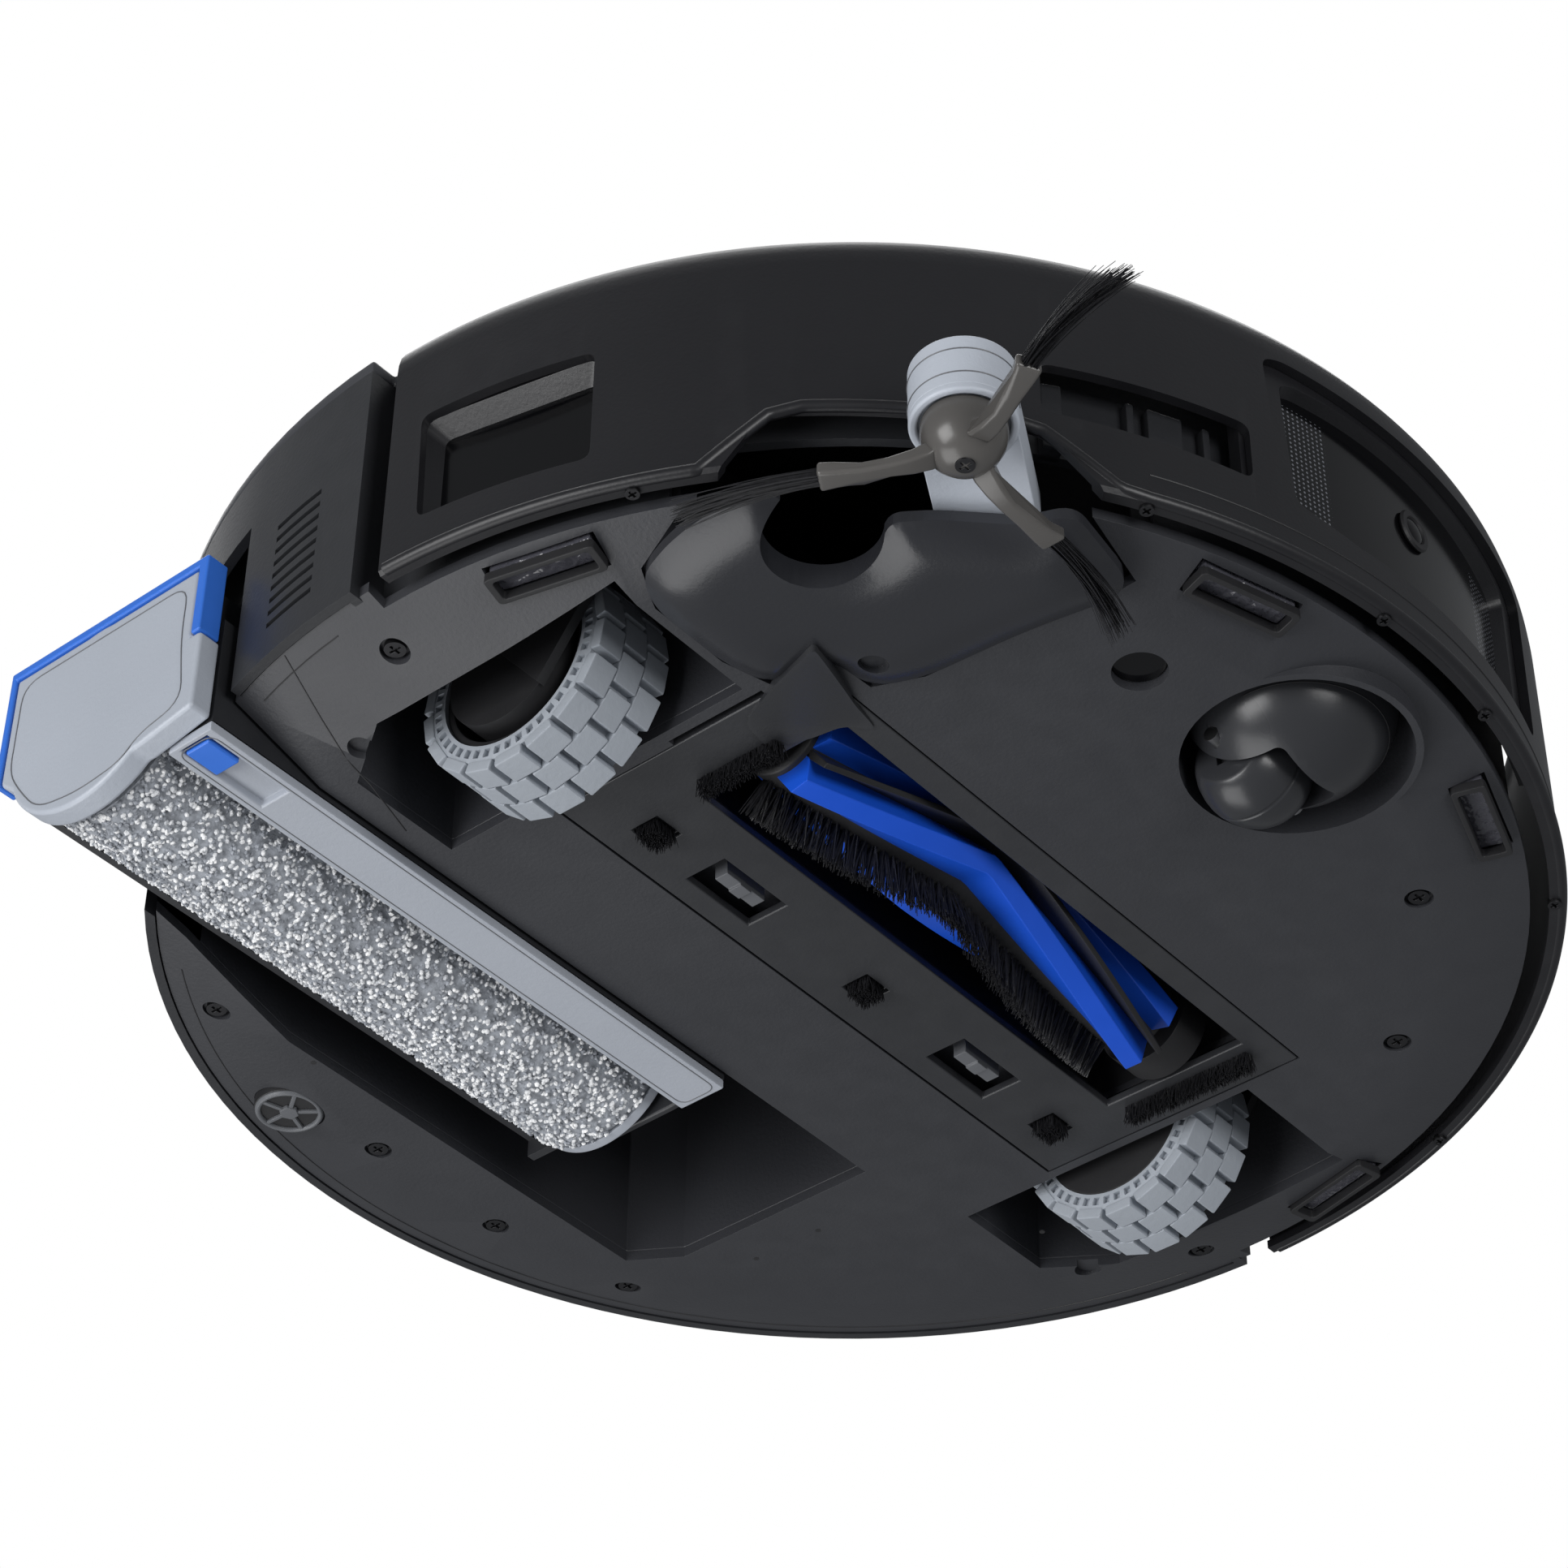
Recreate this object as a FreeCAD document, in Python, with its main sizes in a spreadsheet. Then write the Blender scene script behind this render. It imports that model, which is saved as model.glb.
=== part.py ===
"""Round robot vacuum with a roller mop that slides out at its side.

The origin is the centre of the round body in the plane of its flat underside.
+Z is up, -Y is the way the robot drives, and -X is the robot's right-hand side.
Lengths are millimetres. The drive wheels hang at the bottom of their travel, the
side brush arm is swung out and the mop is slid out, as when the robot is picked up.
"""
import FreeCAD, Part
import Sketcher
import math
import os

doc = FreeCAD.newDocument("robot_vacuum")
sheet = doc.addObject("Spreadsheet::Sheet", "Sizes")

# Driving dimensions: alias, value and what it is.
DRIVING = [
    ("body_radius", 175.5, "outer radius of the bumper"),
    ("wall", 2.5, "thickness of the outer shells"),
    ("skin", 3.0, "thickness of the base plate"),
    ("flat_radius", 145.0, "radius of the flat part of the underside"),
    ("ramp_rise", 8.0, "height that the underside's edge has risen at the rim"),
    ("front_radius", 167.0, "radius of the base plate under the bumper"),
    ("rim_high", 80.0, "top of the bumper"),
    ("lid_radius", 149.5, "radius of the lift-off lid"),
    ("lid_high", 86.0, "top of the lid's crown"),
    ("bumper_travel", 3.5, "how far the bumper can be pushed in"),
    ("well_near", 100.0, "wheel well, side towards the middle"),
    ("well_far", 144.0, "wheel well, side towards the rim"),
    ("well_front", -49.0, "wheel well, front wall"),
    ("well_rear", 42.0, "wheel well, rear wall"),
    ("well_roof", 60.0, "inner height of the wheel wells"),
    ("wheel_radius", 28.5, "outer radius of the tyre"),
    ("wheel_y", -2.7, "wheel centre with the suspension dropped"),
    ("wheel_z", 14.0, "wheel centre with the suspension dropped"),
    ("tyre_near", 105.5, "tyre side towards the middle"),
    ("tyre_far", 128.0, "tyre side towards the rim"),
    ("pivot_y", -40.0, "suspension pivot"),
    ("pivot_z", 38.0, "suspension pivot"),
    ("caster_y", -133.0, "swivel axis of the caster"),
    ("caster_bowl", 27.5, "radius of the caster's recess"),
    ("caster_trail", 12.0, "caster wheel behind its swivel axis"),
    ("caster_wheel_radius", 13.5, "radius of the caster wheel"),
    ("brush_y", -38.0, "axis of the main brush"),
    ("brush_z", 11.0, "axis of the main brush"),
    ("brush_radius", 21.5, "main brush over its bristles"),
    ("core_radius", 12.0, "main brush core"),
    ("motor_drop", 41.0, "brush motor axis above the brush axis"),
    ("pulley_radius", 6.5, "belt pulleys"),
    ("guard_left", -95.0, "brush guard, end on the robot's right"),
    ("guard_right", 97.0, "brush guard, end on the robot's left"),
    ("guard_front", -66.5, "brush guard, front edge"),
    ("guard_rear", 12.5, "brush guard, rear edge"),
    ("arm_x", -98.4, "pivot of the side brush arm"),
    ("arm_y", -119.7, "pivot of the side brush arm"),
    ("hub_x", -132.0, "side brush axis with the arm out"),
    ("hub_y", -138.0, "side brush axis with the arm out"),
    ("park_x", -128.5, "side brush axis with the arm in"),
    ("park_y", -96.0, "side brush axis with the arm in"),
    ("mop_front", 50.0, "mop bay, front wall"),
    ("mop_rear", 126.5, "mop bay, rear wall"),
    ("mop_end", 66.5, "mop bay, end wall"),
    ("mop_roof", 61.0, "mop bay, inner height"),
    ("roller_y", 88.0, "axis of the mop roller"),
    ("roller_z", 16.5, "axis of the mop roller"),
    ("roller_radius", 25.5, "mop roller over its pile"),
    ("module_low", -177.0, "outer face of the mop module"),
    ("module_high", 10.5, "inner end of the mop module"),
]
for row, (alias, value, note) in enumerate(DRIVING, 1):
    sheet.set(f"A{row}", note)
    sheet.set(f"B{row}", str(value))
    sheet.setAlias(f"B{row}", alias)
doc.recompute()


class Size:
    """A number together with the spreadsheet formula that gives it."""

    def __init__(self, value, text=None):
        self.value = float(value)
        self.text = text or f"({self.value!r})"

    def __add__(self, other):
        other = as_size(other)
        return Size(self.value + other.value, f"({self.text} + {other.text})")

    def __sub__(self, other):
        other = as_size(other)
        return Size(self.value - other.value, f"({self.text} - {other.text})")

    def __mul__(self, other):
        other = as_size(other)
        return Size(self.value * other.value, f"({self.text} * {other.text})")

    def __neg__(self):
        return self * -1

    def __radd__(self, other):
        return as_size(other) + self

    def __rsub__(self, other):
        return as_size(other) - self

    __rmul__ = __mul__


def as_size(number):
    return number if isinstance(number, Size) else Size(number)


def bind(item, field, size):
    """Ties one field of an object to the spreadsheet, where its size comes from there."""
    size = as_size(size)
    if "Sizes" in size.text:
        item.setExpression(field, size.text)


DIM = {alias: Size(getattr(sheet, alias), f"Sizes.{alias}") for alias, _, _ in DRIVING}
body_radius, wall, skin = DIM["body_radius"], DIM["wall"], DIM["skin"]
flat_radius, ramp_rise, front_radius = DIM["flat_radius"], DIM["ramp_rise"], DIM["front_radius"]
rim_high, lid_radius, lid_high = DIM["rim_high"], DIM["lid_radius"], DIM["lid_high"]
shell_radius = body_radius - 0.5
inner_radius = front_radius - 2

nodes = {}


def vector(x, y, z):
    return FreeCAD.Vector(as_size(x).value, as_size(y).value, as_size(z).value)


def place(item, x, y, z, axis=(0, 0, 1), angle=0):
    """Moves and turns an object, with its position tied to the spreadsheet."""
    turn = FreeCAD.Rotation(FreeCAD.Vector(*axis), angle)
    item.Placement = FreeCAD.Placement(vector(x, y, z), turn)
    for field, size in zip("xyz", (x, y, z)):
        bind(item, f"Placement.Base.{field}", size)
    return item


def box(name, x, y, z):
    """A block between two bounds on each axis."""
    item = doc.addObject("Part::Box", name)
    for field, (low, high) in zip(("Length", "Width", "Height"), (x, y, z)):
        size = as_size(high) - low
        setattr(item, field, size.value)
        bind(item, field, size)
    return place(item, x[0], y[0], z[0])


def turned_box(name, centre, sizes, angle):
    """A block centred on a point and turned about the vertical."""
    length, width, height = sizes
    item = doc.addObject("Part::Box", name)
    item.Length, item.Width, item.Height = length, width, height
    turn = FreeCAD.Rotation(FreeCAD.Vector(0, 0, 1), angle)
    corner = turn.multVec(FreeCAD.Vector(-length / 2, -width / 2, -height / 2))
    item.Placement = FreeCAD.Placement(vector(*centre) + corner, turn)
    return item


def rod(name, along, radius, centre, span):
    """A round bar along x, y or z; centre gives its other two coordinates in order."""
    item = doc.addObject("Part::Cylinder", name)
    item.Radius = as_size(radius).value
    bind(item, "Radius", radius)
    length = as_size(span[1]) - span[0]
    item.Height = length.value
    bind(item, "Height", length)
    if along == "x":
        return place(item, span[0], centre[0], centre[1], (0, 1, 0), 90)
    if along == "y":
        return place(item, centre[0], span[0], centre[1], (1, 0, 0), -90)
    return place(item, centre[0], centre[1], span[0])


def sector(name, radius, z, start, sweep):
    """A pie slice of a cylinder about the body's axis."""
    item = rod(name, "z", radius, (0, 0), z)
    item.Angle = sweep
    item.Placement = FreeCAD.Placement(item.Placement.Base, FreeCAD.Rotation(FreeCAD.Vector(0, 0, 1), start))
    bind(item, "Placement.Base.z", z[0])
    return item


def ring(name, inner, outer, z, start=0, sweep=360):
    """A curved wall about the body's axis, between two angles."""
    outside = sector(name + "_outside", outer, z, start, sweep)
    inside = rod(name + "_inside", "z", inner, (0, 0), (as_size(z[0]) - 1, as_size(z[1]) + 1))
    return cut(name, outside, inside)


def ball(name, radius, centre):
    item = doc.addObject("Part::Sphere", name)
    item.Radius = as_size(radius).value
    bind(item, "Radius", radius)
    return place(item, *centre)


def fuse(name, *items):
    result = doc.addObject("Part::MultiFuse", name)
    result.Shapes = list(items)
    return result


def cut(name, base, *tools):
    result = doc.addObject("Part::Cut", name)
    result.Base = base
    result.Tool = tools[0] if len(tools) == 1 else fuse(name + "_tools", *tools)
    return result


def common(name, first, second):
    result = doc.addObject("Part::Common", name)
    result.Base, result.Tool = first, second
    return result


def group(name, *items):
    """Separate solids that share one node."""
    result = doc.addObject("Part::Compound", name)
    result.Links = list(items)
    return result


def rounded(name, item, radius, keep):
    """Rounds the edges of an object that keep() picks."""
    doc.recompute()
    result = doc.addObject("Part::Fillet", name)
    result.Base = item
    picked = [i for i, edge in enumerate(item.Shape.Edges, 1) if keep(edge)]
    result.Edges = [(i, radius, radius) for i in picked]
    return result


def upright(edge):
    """Whether an edge is a straight vertical one."""
    first, last = edge.Vertexes[0].Point, edge.Vertexes[-1].Point
    return abs(first.x - last.x) < 1e-4 and abs(first.y - last.y) < 1e-4 and abs(first.z - last.z) > 1e-3


def origin_plane(body, role):
    return next(item for item in body.Origin.OriginFeatures if item.Role == role)


def outline(body, name, points, role):
    """A closed sketch of straight lines whose corners are tied to the spreadsheet."""
    sketch = body.newObject("Sketcher::SketchObject", name)
    sketch.AttachmentSupport = [(origin_plane(body, role), "")]
    sketch.MapMode = "FlatFace"
    corners = [(as_size(x), as_size(y)) for x, y in points]
    places = [FreeCAD.Vector(x.value, y.value, 0) for x, y in corners]
    for i, start in enumerate(places):
        sketch.addGeometry(Part.LineSegment(start, places[(i + 1) % len(places)]))
    for i in range(len(places)):
        sketch.addConstraint(Sketcher.Constraint("Coincident", i, 2, (i + 1) % len(places), 1))
    for i, (x, y) in enumerate(corners):
        for kind, size in (("DistanceX", x), ("DistanceY", y)):
            number = sketch.addConstraint(Sketcher.Constraint(kind, -1, 1, i, 1, size.value))
            if "Sizes" in size.text:
                sketch.setExpression(f"Constraints[{number}]", size.text)
    return sketch


def prism(name, points, z):
    """An upright part padded from an outline seen from above."""
    body = doc.addObject("PartDesign::Body", name)
    sketch = outline(body, name + "_outline", points, "XY_Plane")
    pad = body.newObject("PartDesign::Pad", name + "_pad")
    pad.Profile = sketch
    height = as_size(z[1]) - z[0]
    pad.Length = height.value
    bind(pad, "Length", height)
    return place(body, 0, 0, z[0])


def lengthwise(name, points, x):
    """A part padded along x from an outline of (y, z) points."""
    body = doc.addObject("PartDesign::Body", name)
    sketch = outline(body, name + "_outline", points, "YZ_Plane")
    pad = body.newObject("PartDesign::Pad", name + "_pad")
    pad.Profile = sketch
    length = as_size(x[1]) - x[0]
    pad.Length = length.value
    bind(pad, "Length", length)
    return place(body, x[0], 0, 0)


def lathe(name, points, x=0, y=0, z=0, along="z"):
    """A turned part from (radius, height) points about its own axis."""
    body = doc.addObject("PartDesign::Body", name)
    sketch = outline(body, name + "_outline", points, "XZ_Plane")
    turn = body.newObject("PartDesign::Revolution", name + "_turn")
    turn.Profile = sketch
    turn.ReferenceAxis = (sketch, ["V_Axis"])
    turn.Angle = 360
    if along == "x":
        return place(body, x, y, z, (0, 1, 0), 90)
    return place(body, x, y, z)


def node(name, item):
    """Declares a finished sub-part; its label names its file."""
    item.Label = name
    nodes[name] = item
    return item



# --- Lower casing -----------------------------------------------------------------

well_near, well_far = DIM["well_near"], DIM["well_far"]
well_front, well_rear, well_roof = DIM["well_front"], DIM["well_rear"], DIM["well_roof"]
mop_front, mop_rear, mop_end, mop_roof = (DIM[k] for k in ("mop_front", "mop_rear", "mop_end", "mop_roof"))
guard_left, guard_right = DIM["guard_left"], DIM["guard_right"]
guard_front, guard_rear = DIM["guard_front"], DIM["guard_rear"]
arm_x, arm_y = DIM["arm_x"], DIM["arm_y"]
hub_x, hub_y = DIM["hub_x"], DIM["hub_y"]
park_x, park_y = DIM["park_x"], DIM["park_y"]
caster_y, caster_bowl = DIM["caster_y"], DIM["caster_bowl"]

WELL_CORNER = 12  # the wells' rear outer corner is cut off by this much
DEEP = 30  # how far a cutting shape reaches past what it cuts


def well_outline(side, grow):
    """Corners of a wheel well seen from above; side is -1 on the robot's right."""
    near, far = well_near - grow, well_far + grow
    front, rear = well_front - grow, well_rear + grow
    corners = [(near, front), (far, front), (far, rear - WELL_CORNER * 1.5), (far - WELL_CORNER, rear), (near, rear)]
    return [(x * side, y) for x, y in corners][::side]


def mop_bay(grow):
    """Corners of the mop bay, which is open at the robot's right."""
    end, rear = mop_end + grow, mop_rear + grow
    return [(-200, mop_front - grow), (end, mop_front - grow), (end, rear - 13.5), (end - 8.5, rear),
            (-70, rear), (-112, rear - 5.5), (-200, rear - 6.5)]


# Front edge of the smooth hood under the side brush gearbox, then round behind it.
HOOD = [(-98, -142), (-101.7, -132), (-116, -117.4), (-121.4, -109.5), (-118.5, -104.5), (-118.5, -97),
        (-146, -95), (-149, -90), (-148, -70), (-143, -56), (-133, -51.5), (-110, -51.5), (-97, -55),
        (-97, -71), (-82, -72), (-77, -84), (-75, -110), (-70, -138)]

disc = lathe("base_disc", [(0, 0), (flat_radius, 0), (body_radius - 3.3, ramp_rise - 0.6),
                           (body_radius - 3.3, ramp_rise + skin - 0.6), (flat_radius, skin), (0, skin)])
below = lathe("below_disc", [(0, -1), (body_radius + 10, -1), (body_radius + 10, ramp_rise + skin + 3),
                             (body_radius - 3.3, ramp_rise + skin - 0.6), (flat_radius, skin), (0, skin)])
wells_out = [prism(f"well_wall_{i}", well_outline(side, 2), (0, well_roof + 2)) for i, side in enumerate((-1, 1))]
wells_in = [prism(f"well_space_{i}", well_outline(side, 0), (-1, well_roof)) for i, side in enumerate((-1, 1))]
bay_out = common("bay_wall", prism("bay_block", mop_bay(2), (0, mop_roof + 2)),
                 rod("bay_limit", "z", inner_radius - 3, (0, 0), (-1, mop_roof + 3)))
bay_in = prism("bay_space", mop_bay(0), (-1, mop_roof))
chamber = {"x": (-84, 88), "y": (-64, -12)}
chamber_out = box("chamber_wall", (-86, 90), (-66, -10), (9, 38))
chamber_in = box("chamber_space", chamber["x"], chamber["y"], (-1, 36))
duct_hole = box("duct_hole", (-28, 28), (-32, -14), (30, 40))
shelf_out = box("shelf_wall", (guard_left - 2, guard_right + 2), (guard_front - 3, guard_rear + 3), (0, 9))
shelf_in = box("shelf_space", (guard_left - 0.3, guard_right + 0.3), (guard_front - 0.5, guard_rear + 0.5), (-1, 7))
bowl_out = rod("bowl_wall", "z", caster_bowl + 1.8, (0, caster_y), (0, 40))
bowl_in = rod("bowl_space", "z", caster_bowl, (0, caster_y), (-1, 37))
stem_hole = rod("stem_hole", "z", 4.06, (0, caster_y), (36, 41))
front_trim = cut("front_trim", sector("front_trim_slice", 200, (-2, 20), 180, 180),
                 rod("front_trim_core", "z", front_radius, (0, 0), (-3, 21)))
hood_hole = prism("hood_hole", HOOD, (-1, 15))
arm_gap = prism("arm_gap", [(-200, -95), (-146, -95), (-118.5, -97), (-118.5, -104.5), (-121.4, -109.5),
                            (-116, -117.4), (-101.7, -132), (-98, -142), (-98, -200), (-200, -200)], (-2, 15))
hub_notch = rod("hub_notch", "z", 13.6, (park_x, park_y), (-2, 15))

SCREWS = [(-157, 6), (157, 6), (62, -126), (107.6, -89.7), (-87, 136), (-21.7, 142.4), (23.7, 142.8), (71, 137.5)]
PLAIN_HOLES = [(-140, 32.5), (141, 32.5)]
SCREW_POCKET = 3.6


def underside(x, y):
    """Height of the plate's lower face: flat in the middle, then rising to the rim."""
    rise = (ramp_rise.value - 0.6) / (body_radius.value - 3.3 - flat_radius.value)
    return max(0.0, (math.hypot(x, y) - flat_radius.value) * rise)


pockets = [rod(f"screw_pocket_{i}", "z", SCREW_POCKET, (x, y), (-1, underside(x, y) + 2))
           for i, (x, y) in enumerate(SCREWS + PLAIN_HOLES)]
belt_gap = box("belt_gap", (-97, -85.9), (DIM["brush_y"] - 14, DIM["brush_y"] + 14), (-1, 20))
shaft_hole = rod("shaft_hole", "x", 4.06, (DIM["brush_y"], DIM["brush_z"]), (-90, -80))
CLIFF_ANGLES = (-166, -108, -72, -14)  # the downward-looking windows stand along the front edge
CLIFF_RADIUS = 160


def around(radius, angle):
    return radius * math.cos(math.radians(angle)), radius * math.sin(math.radians(angle))


cliff_pockets = [turned_box(f"cliff_pocket_{i}", (*around(CLIFF_RADIUS, a), 4), (28, 9, 12), a + 90)
                 for i, a in enumerate(CLIFF_ANGLES)]
SENSOR = (-47.5, -122.5)
DRAIN = (-47, 150)
sensor_hole = rod("sensor_hole", "z", 6.6, SENSOR, (-1, 9))
drain_hole = rod("drain_hole", "z", 9.3, DRAIN, (-1, 12))
casing = fuse("casing_solid", disc, cut("shelf_ring", shelf_out, *wells_out), bowl_out)
node("base_plate", cut("base_plate_cut", casing, *wells_in, bay_in, chamber_in, shelf_in, duct_hole, bowl_in,
                       stem_hole, front_trim, hood_hole, arm_gap, hub_notch, *pockets, *cliff_pockets,
                       sensor_hole, drain_hole, belt_gap, shaft_hole))
node("wheel_wells", group("wheel_well_group", *[cut(f"wheel_well_{i}", wells_out[i], wells_in[i], below)
                                                for i in range(2)]))
node("mop_bay", cut("mop_bay_cut", bay_out, bay_in, below))
node("brush_chamber", cut("brush_chamber_cut", chamber_out, chamber_in, duct_hole, shaft_hole, belt_gap))

hood_shell = cut("hood_shell", prism("hood_block", HOOD, (-4.5, 3)),
                 common("hood_space", prism("hood_space_block", HOOD, (-2.2, 4)),
                        rod("hood_space_limit", "z", 39, (-108, -92), (-2.2, 4))),
                 rod("hood_notch", "z", 13.6, (park_x, park_y), (-6, 5)),
                 rod("hood_screw_pocket", "z", SCREW_POCKET, (-91, -80), (-6, -3)))
node("gearbox_hood", fuse("gearbox_hood_fuse", hood_shell, rod("arm_pin", "z", 3, (arm_x, arm_y), (-3, 24)),
                          rod("arm_pin_seat", "z", 6, (arm_x, arm_y), (-3, 3))))
node("drain_vent", cut("drain_vent_cut", rod("vent_disc", "z", 9.2, DRAIN, (2.2, 7)),
                       *[turned_box(f"vent_slot_{i}", (DRAIN[0] + around(5.2, 72 * i)[0],
                                                       DRAIN[1] + around(5.2, 72 * i)[1], 4), (3.4, 4.4, 3.5), 72 * i)
                         for i in range(5)]))
node("carpet_sensor", rod("carpet_sensor_can", "z", 6.5, SENSOR, (2.4, 9)))
node("cliff_lenses", group("cliff_lens_group", *[
    turned_box(f"cliff_lens_{i}", (*around(CLIFF_RADIUS, a), 6.2), (25.5, 7, 3), a + 90)
    for i, a in enumerate(CLIFF_ANGLES)]))


def screw(name, x, y):
    """The head of a screw at the bottom of its pocket, with a cross in it."""
    z = underside(x, y) + 0.4
    head = rod(name + "_head", "z", 2.6, (x, y), (z, z + 1.6))
    return cut(name, head, *[turned_box(f"{name}_slot_{a}", (x, y, z), (3.2, 0.7, 1.4), a) for a in (0, 90)])


node("base_screws", group("base_screw_group", *[
    screw(f"base_screw_{i}", x, y) for i, (x, y) in enumerate(SCREWS)]))

# --- Upper casing -----------------------------------------------------------------

rear_wall = fuse("rear_wall", sector("rear_wall_slice", shell_radius, (7, 78), 1, 178),
                 rod("front_wall_disc", "z", inner_radius, (0, 0), (9, 78)))
rear_space = fuse("rear_space", common("rear_space_half", rod("rear_space_disc", "z", shell_radius - wall, (0, 0), (0, 90)),
                                       box("rear_space_box", (-200, 200), (5.5, 200), (0, 90))),
                  rod("front_space_disc", "z", inner_radius - wall, (0, 0), (0, 90)))
SLITS = 9
slits = [turned_box(f"slit_{i}", (*around(173, 171.5), 17 + 3.9 * i), (17, 8, 1.6), 81.5) for i in range(SLITS)]
node("side_shell", cut("side_shell_cut", rear_wall, rear_space,
                       box("mop_door", (-200, -90), (mop_front - 2.2, mop_rear - 4), (0, mop_roof - 2)),
                       cut("arm_door", sector("arm_door_slice", 180, (5, 24), 205, 38),
                           rod("arm_door_core", "z", 140, (0, 0), (4, 25))), *slits, disc,
                       *[box(f"contact_hole_{i}", (x - 6, x + 6), (160, 180), (22, 28)) for i, x in enumerate((-24, 24))]))
node("charging_contacts", group("contact_group", *[
    box(f"contact_{i}", (x - 6, x + 6), (168.5, shell_radius + 0.2), (22, 28)) for i, x in enumerate((-24, 24))]))
deck_disc = rod("deck_disc", "z", inner_radius - wall - 0.3, (0, 0), (75.3, 78))
node("top_deck", cut("top_deck_cut", deck_disc, box("bin_hole", (-73, 73), (-14, 50), (70, 80))))
cover_disc = fuse("cover_disc", sector("cover_slice", shell_radius, (78, 82), 1, 178),
                  rod("cover_front", "z", front_radius + 1, (0, 0), (78, 82)))
node("top_ring", cut("top_ring_cut", cover_disc, rod("lid_hole", "z", lid_radius + 0.5, (0, 0), (77, 83)),
                     rod("button_hole", "z", 6.1, (0, -159), (77, 83))))
node("start_button", rod("button_cap", "z", 5.9, (0, -159), (79.4, 82.8)))
lid_edge = lid_high - 4
lid_solid = lathe("lid_solid", [(0, 79), (lid_radius - 2, 79), (lid_radius, 80), (lid_radius, lid_edge),
                                (lid_radius - 3, lid_edge + 1.6), (lid_radius - 30, lid_high - 0.6), (0, lid_high)])
lid_hollow = lathe("lid_hollow", [(0, 78), (lid_radius - 4, 78), (lid_radius - 4, lid_edge - 0.4),
                                  (lid_radius - 30, lid_high - 2.6), (0, lid_high - 2)])
node("top_lid", cut("top_lid_cut", lid_solid, lid_hollow))

# --- What is inside ---------------------------------------------------------------

node("dustbin", cut("dustbin_cut", box("bin_block", (-70, 70), (-11, 47), (40, 74)),
                    box("bin_space", (-68, 68), (-9, 45), (42, 71.5)), box("bin_inlet", (-26, 26), (-12, -8), (44, 62))))
node("dustbin_filter", box("dustbin_filter_box", (60, 67.8), (-8, 44), (42.2, 71)))
node("suction_duct", cut("suction_duct_cut", box("duct_block", (-30, 30), (-34, -12), (38.2, 66)),
                         box("duct_space", (-27, 27), (-31, -11), (37, 63))))
node("battery", rounded("battery_round", box("battery_box", (34, 96), (-120, -84), (8, 48)), 4, upright))
node("main_board", fuse("main_board_fuse", box("board", (-80, 80), (-138, -90), (56, 57.6)),
                        box("processor", (-12, 12), (-120, -98), (57.6, 60)),
                        box("connector", (30, 70), (-134, -126), (57.6, 66))))
node("fan_motor", fuse("fan_motor_fuse", rod("fan_case", "z", 26, (64, -42), (40.5, 62)),
                       rod("fan_can", "z", 15, (64, -42), (62, 72))))
tank_left, tank_low = -108, mop_roof + 2.4
node("water_tank", rounded("tank_round", box("tank_box", (tank_left, 108), (62, 122), (tank_low, 74.8)), 6, upright))

# --- Drive wheels -----------------------------------------------------------------

wheel_radius, wheel_y, wheel_z = DIM["wheel_radius"], DIM["wheel_y"], DIM["wheel_z"]
tyre_near, tyre_far = DIM["tyre_near"], DIM["tyre_far"]
pivot_y, pivot_z = DIM["pivot_y"], DIM["pivot_z"]
AXLE, AXLE_BORE = 4.0, 4.05


def spans(side, near, far):
    """The low and high x of something between two distances from the middle."""
    return (far * -1, near * -1) if side < 0 else (near, far)


pins = []
for side, hand in ((-1, "right"), (1, "left")):
    hub_rim = cut(f"{hand}_rim", rod(f"{hand}_rim_out", "x", wheel_radius - 7, (wheel_y, wheel_z),
                                     spans(side, tyre_near, tyre_far - 1)),
                  rod(f"{hand}_rim_in", "x", wheel_radius - 9, (wheel_y, wheel_z),
                      spans(side, tyre_near + 4, tyre_far + 5)),
                  rod(f"{hand}_hub_bore", "x", AXLE_BORE, (wheel_y, wheel_z), spans(side, tyre_near - 2, tyre_far)))
    node(f"{hand}_wheel_hub", hub_rim)
    node(f"{hand}_tyre", cut(f"{hand}_tyre_cut", rod(f"{hand}_tyre_out", "x", wheel_radius, (wheel_y, wheel_z),
                                                     spans(side, tyre_near, tyre_far)),
                             rod(f"{hand}_tyre_in", "x", wheel_radius - 7, (wheel_y, wheel_z),
                                 spans(side, tyre_near - 1, tyre_far + 1))))
    gearbox = rod(f"{hand}_gearbox", "x", wheel_radius - 11, (wheel_y, wheel_z),
                  spans(side, tyre_near + 6, tyre_far + 2.5))
    axle = rod(f"{hand}_axle", "x", AXLE, (wheel_y, wheel_z), spans(side, tyre_near - 1, tyre_near + 7))
    web = lengthwise(f"{hand}_web", [(pivot_y - 6, pivot_z), (pivot_y + 3, pivot_z - 8), (wheel_y - 12, wheel_z - 14),
                                     (wheel_y + 12, wheel_z + 16), (pivot_y + 6, pivot_z + 4)],
                     spans(side, tyre_far + 1.5, tyre_far + 4))
    eye = rod(f"{hand}_eye", "x", 6.5, (pivot_y, pivot_z), spans(side, tyre_far + 1, tyre_far + 4.5))
    bore = rod(f"{hand}_eye_bore", "x", 3.05, (pivot_y, pivot_z), spans(side, tyre_far, tyre_far + 6))
    node(f"{hand}_wheel_arm", cut(f"{hand}_wheel_arm_cut", fuse(f"{hand}_arm_solid", gearbox, axle, web, eye), bore))
    pins.append(rod(f"{hand}_pin", "x", 3, (pivot_y, pivot_z), spans(side, tyre_far - 0.5, well_far + 1.5)))
node("suspension_pins", group("suspension_pin_group", *pins))

# --- Caster -----------------------------------------------------------------------

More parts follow.
